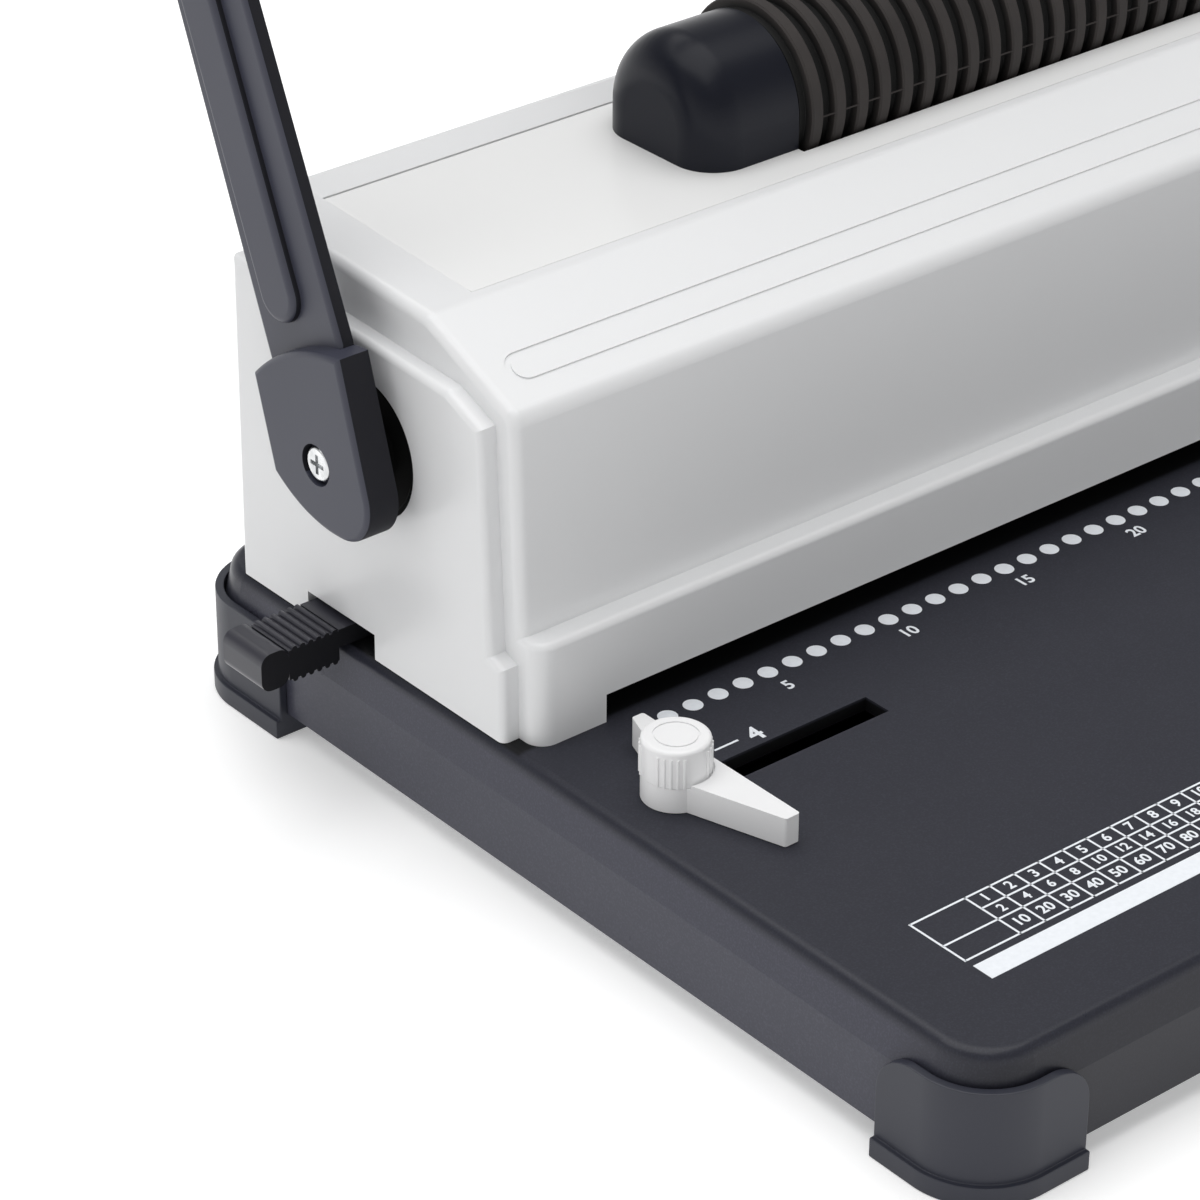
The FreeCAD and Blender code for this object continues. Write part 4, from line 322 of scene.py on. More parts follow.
# Each row: material, colour, variation, roughness, grain scale, grain depth in mm, and specular if not plain.
PLASTICS = {
    "housing": ("off_white_abs", (0.785, 0.790, 0.797), 0.006, 0.28, 900, 0.0008),
    "deck": ("deck_abs", (0.855, 0.856, 0.852), 0.006, 0.20, 700, 0.0006),
    "guide": ("white_guide", (0.85, 0.85, 0.855), 0.008, 0.32, 900, 0.0012),
    "foot": ("charcoal_foot", (0.025, 0.027, 0.040), 0.06, 0.44, 1500, 0.010, 0.42),
    "handle": ("charcoal_handle", (0.040, 0.042, 0.062), 0.06, 0.44, 1600, 0.010, 0.45),
    # The darker side rows for the handle and the lever are painted shade for their front and rear faces, with
    # a coarser grain.
    "handle_painted_shade": ("charcoal_side", (0.011, 0.011, 0.015), 0.06, 0.60, 1300, 0.020, 0.2),
    "lever": ("black_lever", (0.034, 0.034, 0.045), 0.05, 0.32, 1400, 0.005),
    "lever_side": ("black_lever_side", (0.008, 0.008, 0.010), 0.05, 0.55, 1300, 0.015, 0.15),
    "cap": ("blue_black_cap", (0.008, 0.009, 0.015), 0.08, 0.31, 1200, 0.006, 0.18),
    "tray": ("charcoal_tray", (0.036, 0.038, 0.048), 0.06, 0.46, 1300, 0.010),
    "seal": ("seal_rubber", (0.004, 0.004, 0.004), 0.05, 0.70, 1500, 0.010, 0.08),
    "switch": ("black_switch", (0.018, 0.018, 0.020), 0.05, 0.36, 1600, 0.006),
    "roller_core": ("grey_core", (0.10, 0.10, 0.105), 0.05, 0.50, 1200, 0.010)}
finishes = {slot: moulded(*row) for slot, row in PLASTICS.items()}
print("plastics", sorted(finishes))

# %% [markdown]
# ## Tools that tell places apart
# One finish can change from place to place on a piece: a wall, a rolled edge or the bottom of a groove. The
# mesh could be split and painted in parts, but a CAD mesh is left alone here. So the shader measures how
# deep a point lies inside an edge of the piece, and that share mixes two colours.

# %% Tools that tell places apart
def math_node(tree, operation, first, second=None):
    node = tree.nodes.new("ShaderNodeMath")
    node.operation = operation
    for socket, value in zip(node.inputs, (first, second)):
        if isinstance(value, (int, float)):
            socket.default_value = value
        elif value is not None:
            tree.links.new(value, socket)
    return node.outputs[0]


def object_axes(tree):
    place = tree.nodes.new("ShaderNodeTexCoord")
    split = tree.nodes.new("ShaderNodeSeparateXYZ")
    tree.links.new(place.outputs["Object"], split.inputs[0])
    return split.outputs["X"], split.outputs["Y"], split.outputs["Z"]


def depth_share(tree, value, edge, depths):
    """0 to 1 from the first to the second depth inside an edge, in millimetres."""
    node = tree.nodes.new("ShaderNodeMapRange")
    node.inputs["From Min"].default_value = edge - depths[0] * MM
    node.inputs["From Max"].default_value = edge - depths[1] * MM
    tree.links.new(value, node.inputs["Value"])
    return node.outputs["Result"]


def colour_mix(tree, share):
    mix = tree.nodes.new("ShaderNodeMix")
    mix.data_type = "RGBA"
    tree.links.new(share, mix.inputs["Factor"])
    return mix


print("place tools", [tool.__name__ for tool in (math_node, object_axes, depth_share, colour_mix)])

# %% [markdown]
# ## Coated base
# The base is sheet steel under a satin powder coat, which has a fine orange-peel skin and a few lighter
# specks. Its working top is more matte than its side walls. On this one coat the top is painted darker and
# the side walls lighter, as painted light and shade. The front and rear walls carry a deeper painted shade
# again. The rolled edge round the top is smoother, so it carries a line of light. What lies in the guide's
# slot or under the housing is painted almost black as shade. Separate materials would leave hard borders, so
# masks blend one coat into the next.

# %% Coated base
EDGE_BAND = (9.0, 7.0)
CORNER_BAND = (24.0, 3.0)
WALL_DEPTH = (1.4, 3.0)
ROLL_DEPTH = (0.02, 0.2)
SLOT_DEPTH = (0.3, 0.7)
COVER_BAND = (1.0, 2.0)
PANEL_BAND = (0.0, 0.5)
SPECK_SCALE = 2600
SPECK_RANGE = (0.45, 0.85)
SPECK_TONES = (0.92, 1.3)
# Painted shade: the front and rear walls are drawn darker than the side walls.
FRONT_SHADE_TONES = (0.36, 0.52)
COAT_ROUGHNESS = 0.58
COAT_UNEVEN = 0.1
ROLL_SMOOTHER = -0.34
COAT_SPECULAR = 0.25
DULL_SCALE = 60
PEEL_SCALE = 1150
PEEL_DEPTH = 0.010


def base_masks(tree):
    """Where the coat is towards the front or rear, on a wall, on the rolled edge, and in painted shade."""
    low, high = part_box("base_shell")
    middle = (low + high) / 2
    reach = high.y - middle.y
    cover_low, cover_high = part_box("top_cover")
    panel_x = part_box("right_side_panel")[1].x
    x, y, z = object_axes(tree)
    across = math_node(tree, "ABSOLUTE", x)
    along = math_node(tree, "ABSOLUTE", math_node(tree, "SUBTRACT", y, middle.y))
    near_edge = math_node(tree, "MAXIMUM", depth_share(tree, along, reach, EDGE_BAND),
                          depth_share(tree, across, high.x, EDGE_BAND))
    wall = math_node(tree, "MULTIPLY", near_edge, depth_share(tree, z, table_z, WALL_DEPTH))
    rolled = math_node(tree, "MULTIPLY", near_edge, depth_share(tree, z, table_z, ROLL_DEPTH))
    in_slot = math_node(tree, "MULTIPLY", math_node(tree, "SUBTRACT", 1, near_edge),
                        depth_share(tree, z, table_z, SLOT_DEPTH))
    behind_front = depth_share(tree, y, cover_low.y, [-depth for depth in COVER_BAND])
    before_rear = depth_share(tree, y, cover_high.y, COVER_BAND)
    under_cover = math_node(tree, "MULTIPLY", depth_share(tree, across, panel_x, PANEL_BAND),
                            math_node(tree, "MULTIPLY", behind_front, before_rear))
    # Painted shade: the slot and the coat under the housing are drawn almost black.
    painted_shade = math_node(tree, "MAXIMUM", in_slot, under_cover)
    return depth_share(tree, along, reach, CORNER_BAND), wall, rolled, painted_shade


def powder_coat(name, wall, top, painted_shade):
    finish, tree, shader = start_finish(name)
    to_front_or_rear, is_wall, is_rolled, is_painted_shade = base_masks(tree)
    walls, coat, cover = (colour_mix(tree, share) for share in (to_front_or_rear, is_wall, is_painted_shade))
    speck = noise(tree, SPECK_SCALE, 1)
    for colour, (dark, light), target in (
            (wall, SPECK_TONES, walls.inputs["A"]), (wall, FRONT_SHADE_TONES, walls.inputs["B"]),
            (top, SPECK_TONES, coat.inputs["A"]), (painted_shade, SPECK_TONES, cover.inputs["B"])):
        tones(tree, speck, shade(colour, dark), shade(colour, light), target, *SPECK_RANGE)
    tree.links.new(walls.outputs["Result"], coat.inputs["B"])
    tree.links.new(coat.outputs["Result"], cover.inputs["A"])
    tree.links.new(cover.outputs["Result"], shader.inputs["Base Color"])
    uneven = math_node(tree, "MULTIPLY", noise(tree, DULL_SCALE, 3), COAT_UNEVEN)
    smoother = math_node(tree, "MULTIPLY", is_rolled, ROLL_SMOOTHER)
    roughness = math_node(tree, "ADD", math_node(tree, "ADD", uneven, COAT_ROUGHNESS), smoother)
    tree.links.new(roughness, shader.inputs["Roughness"])
    relief(tree, shader, noise(tree, PEEL_SCALE, 2), GRAIN_STRENGTH, PEEL_DEPTH)
    shader.inputs["Specular IOR Level"].default_value = COAT_SPECULAR
    return finish


# One coat: the wall colour is painted lighter and the top colour darker where light and shade fall, and the
# last colour is painted shade.
finishes["base"] = powder_coat("charcoal_powder_coat", wall=(0.055, 0.056, 0.076), top=(0.026, 0.027, 0.037),
                               painted_shade=(0.003, 0.003, 0.004))
print("coat", finishes["base"].name)

# %% [markdown]
# ## Metals
# The steels inside are brushed along the machine, the screws are bright zinc with dull blotches, and the
# bushes are sintered metal soaked dark with oil. Brushing could be cut into the mesh, but its lines are
# finer than any mesh: a noise that is squeezed across the stroke gives them to the tone, the gloss and the
# relief together.

# %% Metals
BRUSH_SCALE = 30
BRUSH_TONES = (0.85, 1.1)
BRUSH_STRENGTH = 0.3
BRUSH_DEPTH = 0.01
BLOTCH_TONES = (0.78, 1.08)
PIT_SCALE = 2500
PIT_STRENGTH = 0.5


def brushed(name, colour, roughness, stretch):
    finish, tree, shader = start_finish(name)
    lines = noise(tree, BRUSH_SCALE, 3, stretch)
    dark, light = BRUSH_TONES
    tones(tree, lines, shade(colour, dark), shade(colour, light), shader.inputs["Base Color"])
    spread(tree, lines, roughness - 0.08, roughness + 0.12, shader.inputs["Roughness"])
    relief(tree, shader, lines, BRUSH_STRENGTH, BRUSH_DEPTH)
    shader.inputs["Metallic"].default_value = 1.0
    return finish


def blotched_metal(name, colour, roughness, scale, depth):
    finish, tree, shader = start_finish(name)
    blotch = noise(tree, scale, 4)
    dark, light = BLOTCH_TONES
    tones(tree, blotch, shade(colour, dark), shade(colour, light), shader.inputs["Base Color"])
    spread(tree, blotch, roughness + 0.12, roughness - 0.06, shader.inputs["Roughness"])
    relief(tree, shader, noise(tree, PIT_SCALE, 1), PIT_STRENGTH, depth)
    shader.inputs["Metallic"].default_value = 1.0
    return finish


finishes["sheet_steel"] = brushed("zinc_sheet", (0.58, 0.59, 0.60), 0.38, stretch=(6, 60, 60))
finishes["tool_steel"] = brushed("ground_steel", (0.52, 0.52, 0.54), 0.26, stretch=(4, 90, 90))
finishes["zinc"] = blotched_metal("bright_zinc", (0.76, 0.77, 0.78), 0.26, scale=500, depth=0.004)
finishes["bronze"] = blotched_metal("oiled_sinter", (0.030, 0.028, 0.027), 0.46, scale=900, depth=0.02)
finishes["motor"] = blotched_metal("motor_can", (0.50, 0.50, 0.51), 0.34, scale=120, depth=0.004)
print("metals", [finishes[slot].name for slot in ("sheet_steel", "tool_steel", "zinc", "bronze", "motor")])

# %% [markdown]
# ## Rubber
# The roller, the grip and the belt are matte rubber with a bloom of dust. Little light reaches between the
# roller's ribs, so the grooves are painted almost black as shade. That painted shade could be a second
# material on their faces, but the distance from the roller's axis already tells rib from groove, and it also
# blends the two.

# %% Rubber
RUBBER_SPECULAR = 0.3
RUBBER_ROUGHNESS = (0.62, 0.78)
RUBBER_STRENGTH = 0.7
BLOOM_SCALE = 90
BLOOM_RANGE = (0.35, 0.8)
GROOVE_RANGE = (1.9, 0.5)
GROOVE_DUST = 1.6


def from_axis(tree, node, depths):
    """How deep a point lies inside a round node that turns about an X axis, as a share of a range."""
    low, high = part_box(node)
    middle = (low + high) / 2
    _, y, z = object_axes(tree)
    squares = [math_node(tree, "POWER", math_node(tree, "SUBTRACT", value, centre), 2)
               for value, centre in ((y, middle.y), (z, middle.z))]
    radius = math_node(tree, "SQRT", math_node(tree, "ADD", *squares))
    return depth_share(tree, radius, (high.z - low.z) / 2, depths)


def rubber(name, colour, dust, scale, depth, groove=None):
    finish, tree, shader = start_finish(name)
    bloom = noise(tree, BLOOM_SCALE, 5)
    target = shader.inputs["Base Color"]
    # The grooves take a near-black colour: painted shade between the ribs.
    if groove:
        mix = colour_mix(tree, from_axis(tree, "roller_sleeve", GROOVE_RANGE))
        tones(tree, bloom, groove, shade(groove, GROOVE_DUST), mix.inputs["A"], *BLOOM_RANGE)
        tree.links.new(mix.outputs["Result"], target)
        target = mix.inputs["B"]
    tones(tree, bloom, colour, dust, target, *BLOOM_RANGE)
    spread(tree, bloom, *RUBBER_ROUGHNESS, shader.inputs["Roughness"])
    relief(tree, shader, noise(tree, scale, 2), RUBBER_STRENGTH, depth)
    shader.inputs["Specular IOR Level"].default_value = RUBBER_SPECULAR
    return finish


# The groove colour below is painted shade.
finishes["roller_rubber"] = rubber("roller_rubber", (0.028, 0.024, 0.023), (0.046, 0.040, 0.038), 1800, 0.02,
                                   groove=(0.005, 0.005, 0.005))
finishes["grip"] = rubber("foam_grip", (0.026, 0.026, 0.028), (0.045, 0.045, 0.047), 1300, 0.06)
finishes["belt"] = rubber("belt_rubber", (0.020, 0.020, 0.020), (0.036, 0.035, 0.034), 1500, 0.03)
print("rubbers", [finishes[slot].name for slot in ("roller_rubber", "grip", "belt")])

# %% [markdown]
# ## A finish for every CAD piece
# The CAD record names a material slot for each piece. The finishes could be handed out by eye, one by one,
# but the record already knows what is steel and what is plastic, so a loop gives each piece the finish of
# its slot.

# %% A finish for every CAD piece
slot_of = {part["node"]: part["material_slot"] for part in frame["record"]["subparts"]}
for name, node in nodes.items():
    if not node.material_slots:
        node.data.materials.append(None)
    for place in node.material_slots:
        place.material = finishes[slot_of[name]]
print("finished nodes", len(slot_of))

# %% [markdown]
# ## Tools for modelling
# Some steps come back on every piece: picking faces by their place, closing a mesh, joining pieces and
# handing a piece over. By hand these are clicks in edit mode. As functions they stay the same for each
# piece. A finished piece has its place in its mesh, and rides on the body that carries it.

# %% Tools for modelling
def choose(pieces):
    bpy.ops.object.select_all(action="DESELECT")
    for piece in pieces:
        piece.select_set(True)
    bpy.context.view_layer.objects.active = pieces[0]


def pick_faces(piece, test):
    bpy.context.tool_settings.mesh_select_mode = (False, False, True)
    bpy.ops.object.mode_set(mode="EDIT")
    bpy.ops.mesh.select_all(action="DESELECT")
    bpy.ops.object.mode_set(mode="OBJECT")
    for face in piece.data.polygons:
        face.select = test(face)
    bpy.ops.object.mode_set(mode="EDIT")


def close_mesh(distance):
    bpy.ops.object.mode_set(mode="EDIT")
    bpy.ops.mesh.select_all(action="SELECT")
    bpy.ops.mesh.remove_doubles(threshold=distance)
    bpy.ops.mesh.normals_make_consistent(inside=False)
    bpy.ops.object.mode_set(mode="OBJECT")


def join(pieces):
    choose(pieces)
    bpy.ops.object.join()
    return bpy.context.object


def apply_row(piece, count, pitch):
    row = piece.modifiers.new("row", "ARRAY")
    row.count = count
    row.use_relative_offset = False
    row.use_constant_offset = True
    row.constant_offset_displace = (pitch * MM, 0, 0)
    bpy.ops.object.modifier_apply(modifier="row")


def complete(piece, name, body, finish, smooth=35):
    choose([piece])
    bpy.ops.object.transform_apply(location=True, rotation=True, scale=True)
    if smooth:
        bpy.ops.object.shade_smooth_by_angle(angle=math.radians(smooth))
    piece.name = name
    piece.data.materials.clear()
    piece.data.materials.append(finish)
    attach(piece, body)
    piece.select_set(False)
    print(name, len(piece.data.polygons), "faces")


print("modelling tools",
      [tool.__name__ for tool in (choose, pick_faces, close_mesh, join, apply_row, complete)])

# %% [markdown]
# ## Roller
# The roller is one moulded rubber sleeve with square ribs that grip the coil. Rings could be stacked on a
# tube, but their joints would show. So it is drawn as one outline and turned about its axis, as on a lathe:
# a plane is merged to one point, the point is extruded along the outline, and the spin operator turns it.
# Each rib has its two corners broken by a small slope. The bore is the core's radius, so the sleeve sits on
# the core.

# %% Roller
RIB_COUNT = 22
RIB_PITCH = 6.0
RIB_WIDTH = 3.0
RIB_ROOT = 0.1
RIB_SLOPE = 0.4
RIB_SLOPE_DEPTH = 0.35
GROOVE_DEPTH = 2.2
ROLLER_STEPS = 72
LATHE_MERGE = 0.001


def lathe(outline, middle, steps):
    """Turn an outline of (along X, radius) points in millimetres about the X axis through a middle point."""
    points = [Vector(middle) + Vector((x, 0, radius)) * MM for x, radius in outline + outline[:1]]
    bpy.ops.mesh.primitive_plane_add(size=MM)
    bpy.ops.object.mode_set(mode="EDIT")
    bpy.ops.mesh.merge(type="CENTER")
    bpy.ops.transform.translate(value=points[0])
    for here, there in zip(points, points[1:]):
        bpy.ops.mesh.extrude_region_move(TRANSFORM_OT_translate={"value": there - here})
    bpy.ops.mesh.select_all(action="SELECT")
    bpy.ops.mesh.spin(steps=steps, angle=math.tau, center=middle, axis=(1, 0, 0))
    bpy.ops.object.mode_set(mode="OBJECT")
    close_mesh(LATHE_MERGE * MM)
    return bpy.context.object


sleeve_low, sleeve_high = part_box("roller_sleeve")
core_low, core_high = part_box("roller_core")
roller_middle = (sleeve_low + sleeve_high) / 2
roller_radius = (sleeve_high.z - sleeve_low.z) / 2 / MM
core_radius = (core_high.z - core_low.z) / 2 / MM
sleeve_end = (sleeve_high.x - sleeve_low.x) / 2 / MM
groove = roller_radius - GROOVE_DEPTH
shoulder = roller_radius - RIB_SLOPE_DEPTH
outline = [(-sleeve_end, core_radius), (-sleeve_end, groove)]
for i in range(RIB_COUNT):
    rib = (i - (RIB_COUNT - 1) / 2) * RIB_PITCH
    left, right = rib - RIB_WIDTH / 2, rib + RIB_WIDTH / 2
    outline += [(left - RIB_ROOT, groove), (left, groove + RIB_ROOT), (left, shoulder),
                (left + RIB_SLOPE, roller_radius), (right - RIB_SLOPE, roller_radius), (right, shoulder),
                (right, groove + RIB_ROOT), (right + RIB_ROOT, groove)]
outline += [(sleeve_end, groove), (sleeve_end, core_radius)]
roller = lathe(outline, roller_middle, ROLLER_STEPS)
complete(roller, "ribbed_roller", "roller", finishes["roller_rubber"])
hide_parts("roller_sleeve")

# %% [markdown]
# ## Mould seam of the roller
# Where the two halves of the mould met, a hair of rubber is left between the ribs. A bump could hint at it,
# but it stands out far enough to break the dark of the groove, so it is real mesh. One hair is a small bar
# with its edges broken, and an array puts one in each groove.

# %% Mould seam of the roller
SEAM_LENGTH = 3.4
SEAM_DEPTH = 0.5
SEAM_HEIGHT = 0.16
SEAM_SINK = 0.3
SEAM_EDGE = 0.06
seam_start = -(RIB_COUNT - 2) / 2 * RIB_PITCH
seam_place = roller_middle + Vector((seam_start, SEAM_SINK - roller_radius, 0)) * MM
bpy.ops.mesh.primitive_cube_add(size=1, location=seam_place,
                                scale=Vector((SEAM_LENGTH, SEAM_DEPTH, SEAM_HEIGHT)) * MM)
seam = bpy.context.object
bpy.ops.object.transform_apply(location=False, rotation=False, scale=True)
edge = seam.modifiers.new("edge", "BEVEL")
edge.width = SEAM_EDGE * MM
bpy.ops.object.modifier_apply(modifier="edge")
apply_row(seam, RIB_COUNT - 1, RIB_PITCH)
complete(seam, "roller_seam", "roller", finishes["roller_rubber"])

# %% [markdown]
# ## Shaft seals
# Where the shaft of the handle leaves the housing, a black ring fills the hole in the side panel. A flat
# washer would look like a painted disc, so the ring is turned like the roller, with a raised lip at its rim
# and round the shaft.

# %% Shaft seals
SEAL_SINK = 0.4
SEAL_THICKNESS = 3.0
SEAL_BORE = 5.6
SEAL_RADIUS = 14.2
SEAL_LIP = 1.4
SEAL_DISH = 0.5
SEAL_SLOPE = 0.6
SEAL_RIM = 0.2
SEAL_STEPS = 64
shaft_low, shaft_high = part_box("drive_shaft")
shaft_middle = (shaft_low + shaft_high) / 2
for side, sign in (("left", -1), ("right", 1)):
    panel_low, panel_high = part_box(side + "_side_panel")
    face = abs(panel_low.x if sign < 0 else panel_high.x) / MM - SEAL_SINK
    back = face - SEAL_THICKNESS
    outline = [(face, SEAL_BORE), (face, SEAL_BORE + SEAL_LIP),
               (face - SEAL_DISH, SEAL_BORE + SEAL_LIP + SEAL_SLOPE),
               (face - SEAL_DISH, SEAL_RADIUS - SEAL_LIP), (face, SEAL_RADIUS - SEAL_LIP + SEAL_SLOPE),
               (face - SEAL_RIM, SEAL_RADIUS), (back, SEAL_RADIUS), (back, SEAL_BORE)]
    outline = [(sign * x, radius) for x, radius in outline]
    seal = lathe(outline, Vector((0, shaft_middle.y, shaft_middle.z)), SEAL_STEPS)
    complete(seal, "shaft_seal_" + side, "machine", finishes["seal"])

# %% [markdown]
# ## Grip
# The bar across the handle carries a foam sleeve. Its ends are rolled in and a few rings are pressed into
# it near each end. Cutting the rings from a cylinder would leave sharp rims, so it is turned like the
# roller, from one outline with a bore that fits the bar.

# %% Grip
GRIP_BORE = 7.0
GRIP_END = ((0.0, 2.6), (0.8, 1.0), (2.4, 0.0))
RING_PLACES = (8.0, 12.0, 16.0)
RING_DEPTH = 0.9
RING_SHAPE = ((1.1, 0.0), (0.5, 0.6), (0.0, 1.0), (-0.5, 0.6), (-1.1, 0.0))
GRIP_STEPS = 56
grip_low, grip_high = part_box("handle_grip")
grip_middle = (grip_low + grip_high) / 2
grip_radius = (grip_high.z - grip_low.z) / 2 / MM
grip_end = (grip_high.x - grip_low.x) / 2 / MM
half_outline = [(grip_end, GRIP_BORE)] + [(grip_end - back, grip_radius - down) for back, down in GRIP_END]
for ring in RING_PLACES:
    half_outline += [(grip_end - ring + aside, grip_radius - share * RING_DEPTH)
                     for aside, share in RING_SHAPE]
outline = half_outline + [(-x, radius) for x, radius in reversed(half_outline)]
grip = lathe(outline, grip_middle, GRIP_STEPS)
complete(grip, "foam_grip", "handle", finishes["grip"])
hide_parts("handle_grip")

# %% [markdown]
# ## White ink
# The marks on the base are screen-printed: a thin layer of white ink with a soft edge. It could be a colour
# in the base's material, but then the exported mesh would lack it. So each line and number is a closed
# layer that lies on the base. Numbers are text that is turned into mesh, and a line is a thin bar with its
# top edge broken.

# %% White ink
INK = 0.05
INK_SINK = 0.01
INK_EDGE = 0.02
INK_MERGE = 0.0005
DIGIT_SHARE = 0.7
DIGIT_BOLD = 0.03
INK_DARK = (0.80, 0.83, 0.87)
INK_LIGHT = (0.85, 0.88, 0.92)
INK_ROUGHNESS = (0.48, 0.62)
ink_middle = (INK - INK_SINK) / 2
ink_finish, ink_tree, ink_shader = start_finish("white_ink")
tones(ink_tree, noise(ink_tree, 900, 3), INK_DARK, INK_LIGHT, ink_shader.inputs["Base Color"])
spread(ink_tree, noise(ink_tree, 1500, 2), *INK_ROUGHNESS, ink_shader.inputs["Roughness"])
relief(ink_tree, ink_shader, noise(ink_tree, 2500, 1), 0.5, 0.006)


def break_top_edge(piece, width):
    pick_faces(piece, lambda face: face.normal.z > 0.9)
    bpy.ops.mesh.bevel(offset=width * MM, segments=1, affect="EDGES")
    bpy.ops.object.mode_set(mode="OBJECT")


def ink_number(text, along, behind, height):
    bpy.ops.object.text_add(location=at(along, behind, ink_middle))
    label = bpy.context.object
    label.data.body = text
    label.data.size = height * MM / DIGIT_SHARE
    label.data.align_x = "CENTER"
    label.data.align_y = "CENTER"
    label.data.extrude = (INK + INK_SINK) / 2 * MM
    label.data.offset = DIGIT_BOLD * height * MM
    label.data.resolution_u = 3
    bpy.ops.object.convert(target="MESH")
    return bpy.context.object


def ink_bar(along, behind, length, width):
    bpy.ops.mesh.primitive_cube_add(size=1, location=at(along + length / 2, behind + width / 2, ink_middle),
                                    scale=Vector((length, width, INK + INK_SINK)) * MM)
    line = bpy.context.object
    bpy.ops.object.transform_apply(location=False, rotation=False, scale=True)
    break_top_edge(line, INK_EDGE)
    return line


print("ink", INK, "mm thick")

# %% [markdown]
# ## Printed marks
# A row of dots shows where each hole is punched. Every fifth dot has its number, and a short line shows
# where the guide stands for a sheet. The dots could be drawn one by one, but they are all alike: one is
# modelled as a low disc with a softened rim, and an array makes the row.

# %% Printed marks
DOT_RADIUS = 2.0
DOT_SIDES = 32
DOT_EDGE = 0.03
COUNT_STEP = 5
COUNT_BEHIND = -6.0
COUNT_HEIGHT = 2.9
bpy.ops.mesh.primitive_cylinder_add(vertices=DOT_SIDES, radius=DOT_RADIUS * MM, depth=(INK + INK_SINK) * MM,
                                    location=at(0, 0, ink_middle))
dots = bpy.context.object
break_top_edge(dots, DOT_EDGE)
apply_row(dots, MARK_COUNT, MARK_PITCH)
pieces = [dots, ink_bar(along=-1.1, behind=-15.0, length=5.8, width=0.5),
          ink_number("4", along=8.6, behind=-15.2, height=4.2)]
for count in range(COUNT_STEP, MARK_COUNT, COUNT_STEP):
    pieces.append(ink_number(str(count), (count - 1) * MARK_PITCH, COUNT_BEHIND, COUNT_HEIGHT))
marks = join(pieces)
close_mesh(INK_MERGE * MM)
complete(marks, "printed_marks", "machine", ink_finish)

# %% [markdown]
# ## Printed chart
# Near the front edge a chart is printed in fine lines, with a white strip below it. A grid could be cut
# from one sheet, but bars laid across each other keep every line the same width. The numbers in the columns
# are plain counts.

# %% Printed chart
CHART_LEFT = -11.8
CHART_HEAD = 13.2
CHART_COLUMNS = 14
COLUMN = 6.0
LINE = 0.45
ROW_LINES = (-79.3, -83.5, -87.7, -93.3)
ROW_STEPS = (1, 2, 10)
ROW_DIGITS = (2.3, 2.1, 2.4)
STRIP_BEHIND = -100.0
STRIP_WIDTH = 4.8
chart_body = CHART_LEFT + CHART_HEAD
chart_right = chart_body + CHART_COLUMNS * COLUMN
pieces = []
for line, behind in enumerate(ROW_LINES):
    start = chart_body if line == 1 else CHART_LEFT
    pieces.append(ink_bar(start, behind - LINE / 2, chart_right - start, LINE))
full_height = ROW_LINES[0] - ROW_LINES[-1]
for along in [CHART_LEFT] + [chart_body + i * COLUMN for i in range(CHART_COLUMNS + 1)]:
    pieces.append(ink_bar(along - LINE / 2, ROW_LINES[-1] - LINE / 2, LINE, full_height + LINE))
for i in range(CHART_COLUMNS):
    along = chart_body + (i + 0.5) * COLUMN
    for above, below, step, height in zip(ROW_LINES, ROW_LINES[1:], ROW_STEPS, ROW_DIGITS):
        pieces.append(ink_number(str(step * (i + 1)), along, (above + below) / 2, height))
chart = join(pieces)
close_mesh(INK_MERGE * MM)
complete(chart, "printed_chart", "machine", ink_finish)
strip = ink_bar(CHART_LEFT, STRIP_BEHIND, chart_right - CHART_LEFT, STRIP_WIDTH)
complete(strip, "printed_strip", "machine", ink_finish)

# %% [markdown]
# ## Softened edges
# The pieces that a hand touches have no sharp edges: the mould rounds them. They could be modelled afresh,
# but the CAD shapes are right already. So a copy of each CAD piece is merged, its flat faces are cleaned, and
# a bevel on the sharp edges rounds it by a fraction of a millimetre, which is what catches a line of light.
# On the handle and the lever, faces that turn to the front or the rear take a darker, coarser finish as
# painted shade. The copy stands for the CAD piece and rides on its body.

# %% Softened edges
MERGE_DISTANCE = 0.002
FLAT_ANGLE = 0.6
SHARP_ANGLE = 32
SMOOTH_ANGLE = 40
FOOT_EDGE = 0.3
ARM_EDGE = 0.6
HUB_EDGE = 0.9
LEVER_EDGE = 0.3
GUIDE_EDGE = 0.4
SIDE_FACE_X = 0.35
SIDE_FACE_Z = 0.6


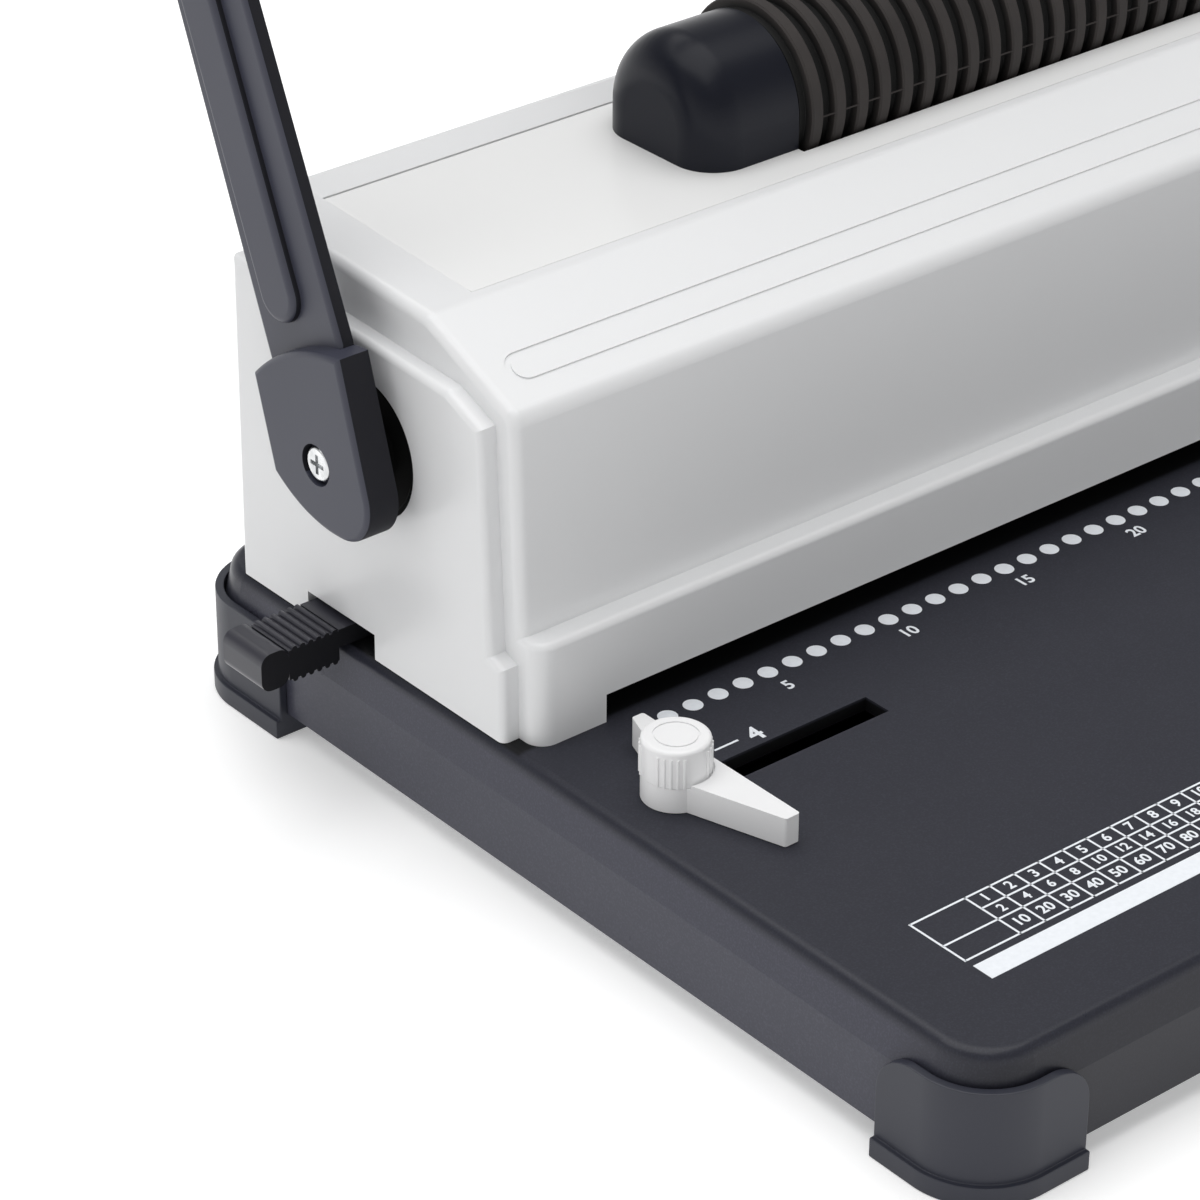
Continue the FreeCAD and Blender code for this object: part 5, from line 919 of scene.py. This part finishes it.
def merged_copy(node):
    piece = bpy.data.objects.new("copy_of_" + node, nodes[node].data.copy())
    bpy.context.scene.collection.objects.link(piece)
    choose([piece])
    bpy.ops.object.mode_set(mode="EDIT")
    bpy.ops.mesh.select_all(action="SELECT")
    bpy.ops.mesh.remove_doubles(threshold=MERGE_DISTANCE * MM)
    bpy.ops.mesh.customdata_custom_splitnormals_clear()
    bpy.ops.object.mode_set(mode="OBJECT")
    return piece


def soften(node, body, width, side=None):
    piece = merged_copy(node)
    bpy.ops.object.mode_set(mode="EDIT")
    bpy.ops.mesh.select_all(action="SELECT")
    bpy.ops.mesh.dissolve_limited(angle_limit=math.radians(FLAT_ANGLE))
    bpy.ops.object.mode_set(mode="OBJECT")
    edge = piece.modifiers.new("edge", "BEVEL")
    edge.width = width * MM
    edge.segments = 2
    edge.limit_method = "ANGLE"
    edge.angle_limit = math.radians(SHARP_ANGLE)
    edge.use_clamp_overlap = True
    bpy.ops.object.modifier_apply(modifier="edge")
    bpy.ops.object.shade_smooth_by_angle(angle=math.radians(SMOOTH_ANGLE))
    even = piece.modifiers.new("even", "WEIGHTED_NORMAL")
    even.keep_sharp = True
    bpy.ops.object.modifier_apply(modifier="even")
    slot = slot_of[node]
    complete(piece, "soft_" + node, body, finishes[slot], None)
    # Faces that turn to the front or rear get the second, darker finish: painted shade.
    if side:
        piece.data.materials.append(finishes[side])
        for face in piece.data.polygons:
            face.material_index = int(abs(face.normal.x) < SIDE_FACE_X and face.normal.z < SIDE_FACE_Z)
    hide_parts(node)


for foot in ("foot_front_left", "foot_front_right", "foot_rear_left", "foot_rear_right"):
    soften(foot, "machine", FOOT_EDGE)
for side in ("left", "right"):
    soften(side + "_handle_arm", "handle", ARM_EDGE, "handle_painted_shade")
    soften(side + "_hub_cover", "handle", HUB_EDGE, "handle_painted_shade")
soften("margin_lever", "margin_stop", LEVER_EDGE, "lever_side")
soften("edge_guide", "guide", GUIDE_EDGE)

# %% [markdown]
# ## Return springs
# Inside the housing two coil springs lift the punches again after each stroke. A rigid spring would stand
# through the bar that presses on it, and a bone for each coil would be much work for a piece that hides
# inside. Here a merged copy of the CAD springs stands for them; it rides on the machine with a mesh of its
# own and keeps its shape.

# %% Return springs
springs = merged_copy("return_springs")
complete(springs, "coil_springs", "machine", finishes[slot_of["return_springs"]])
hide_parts("return_springs")
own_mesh(springs)
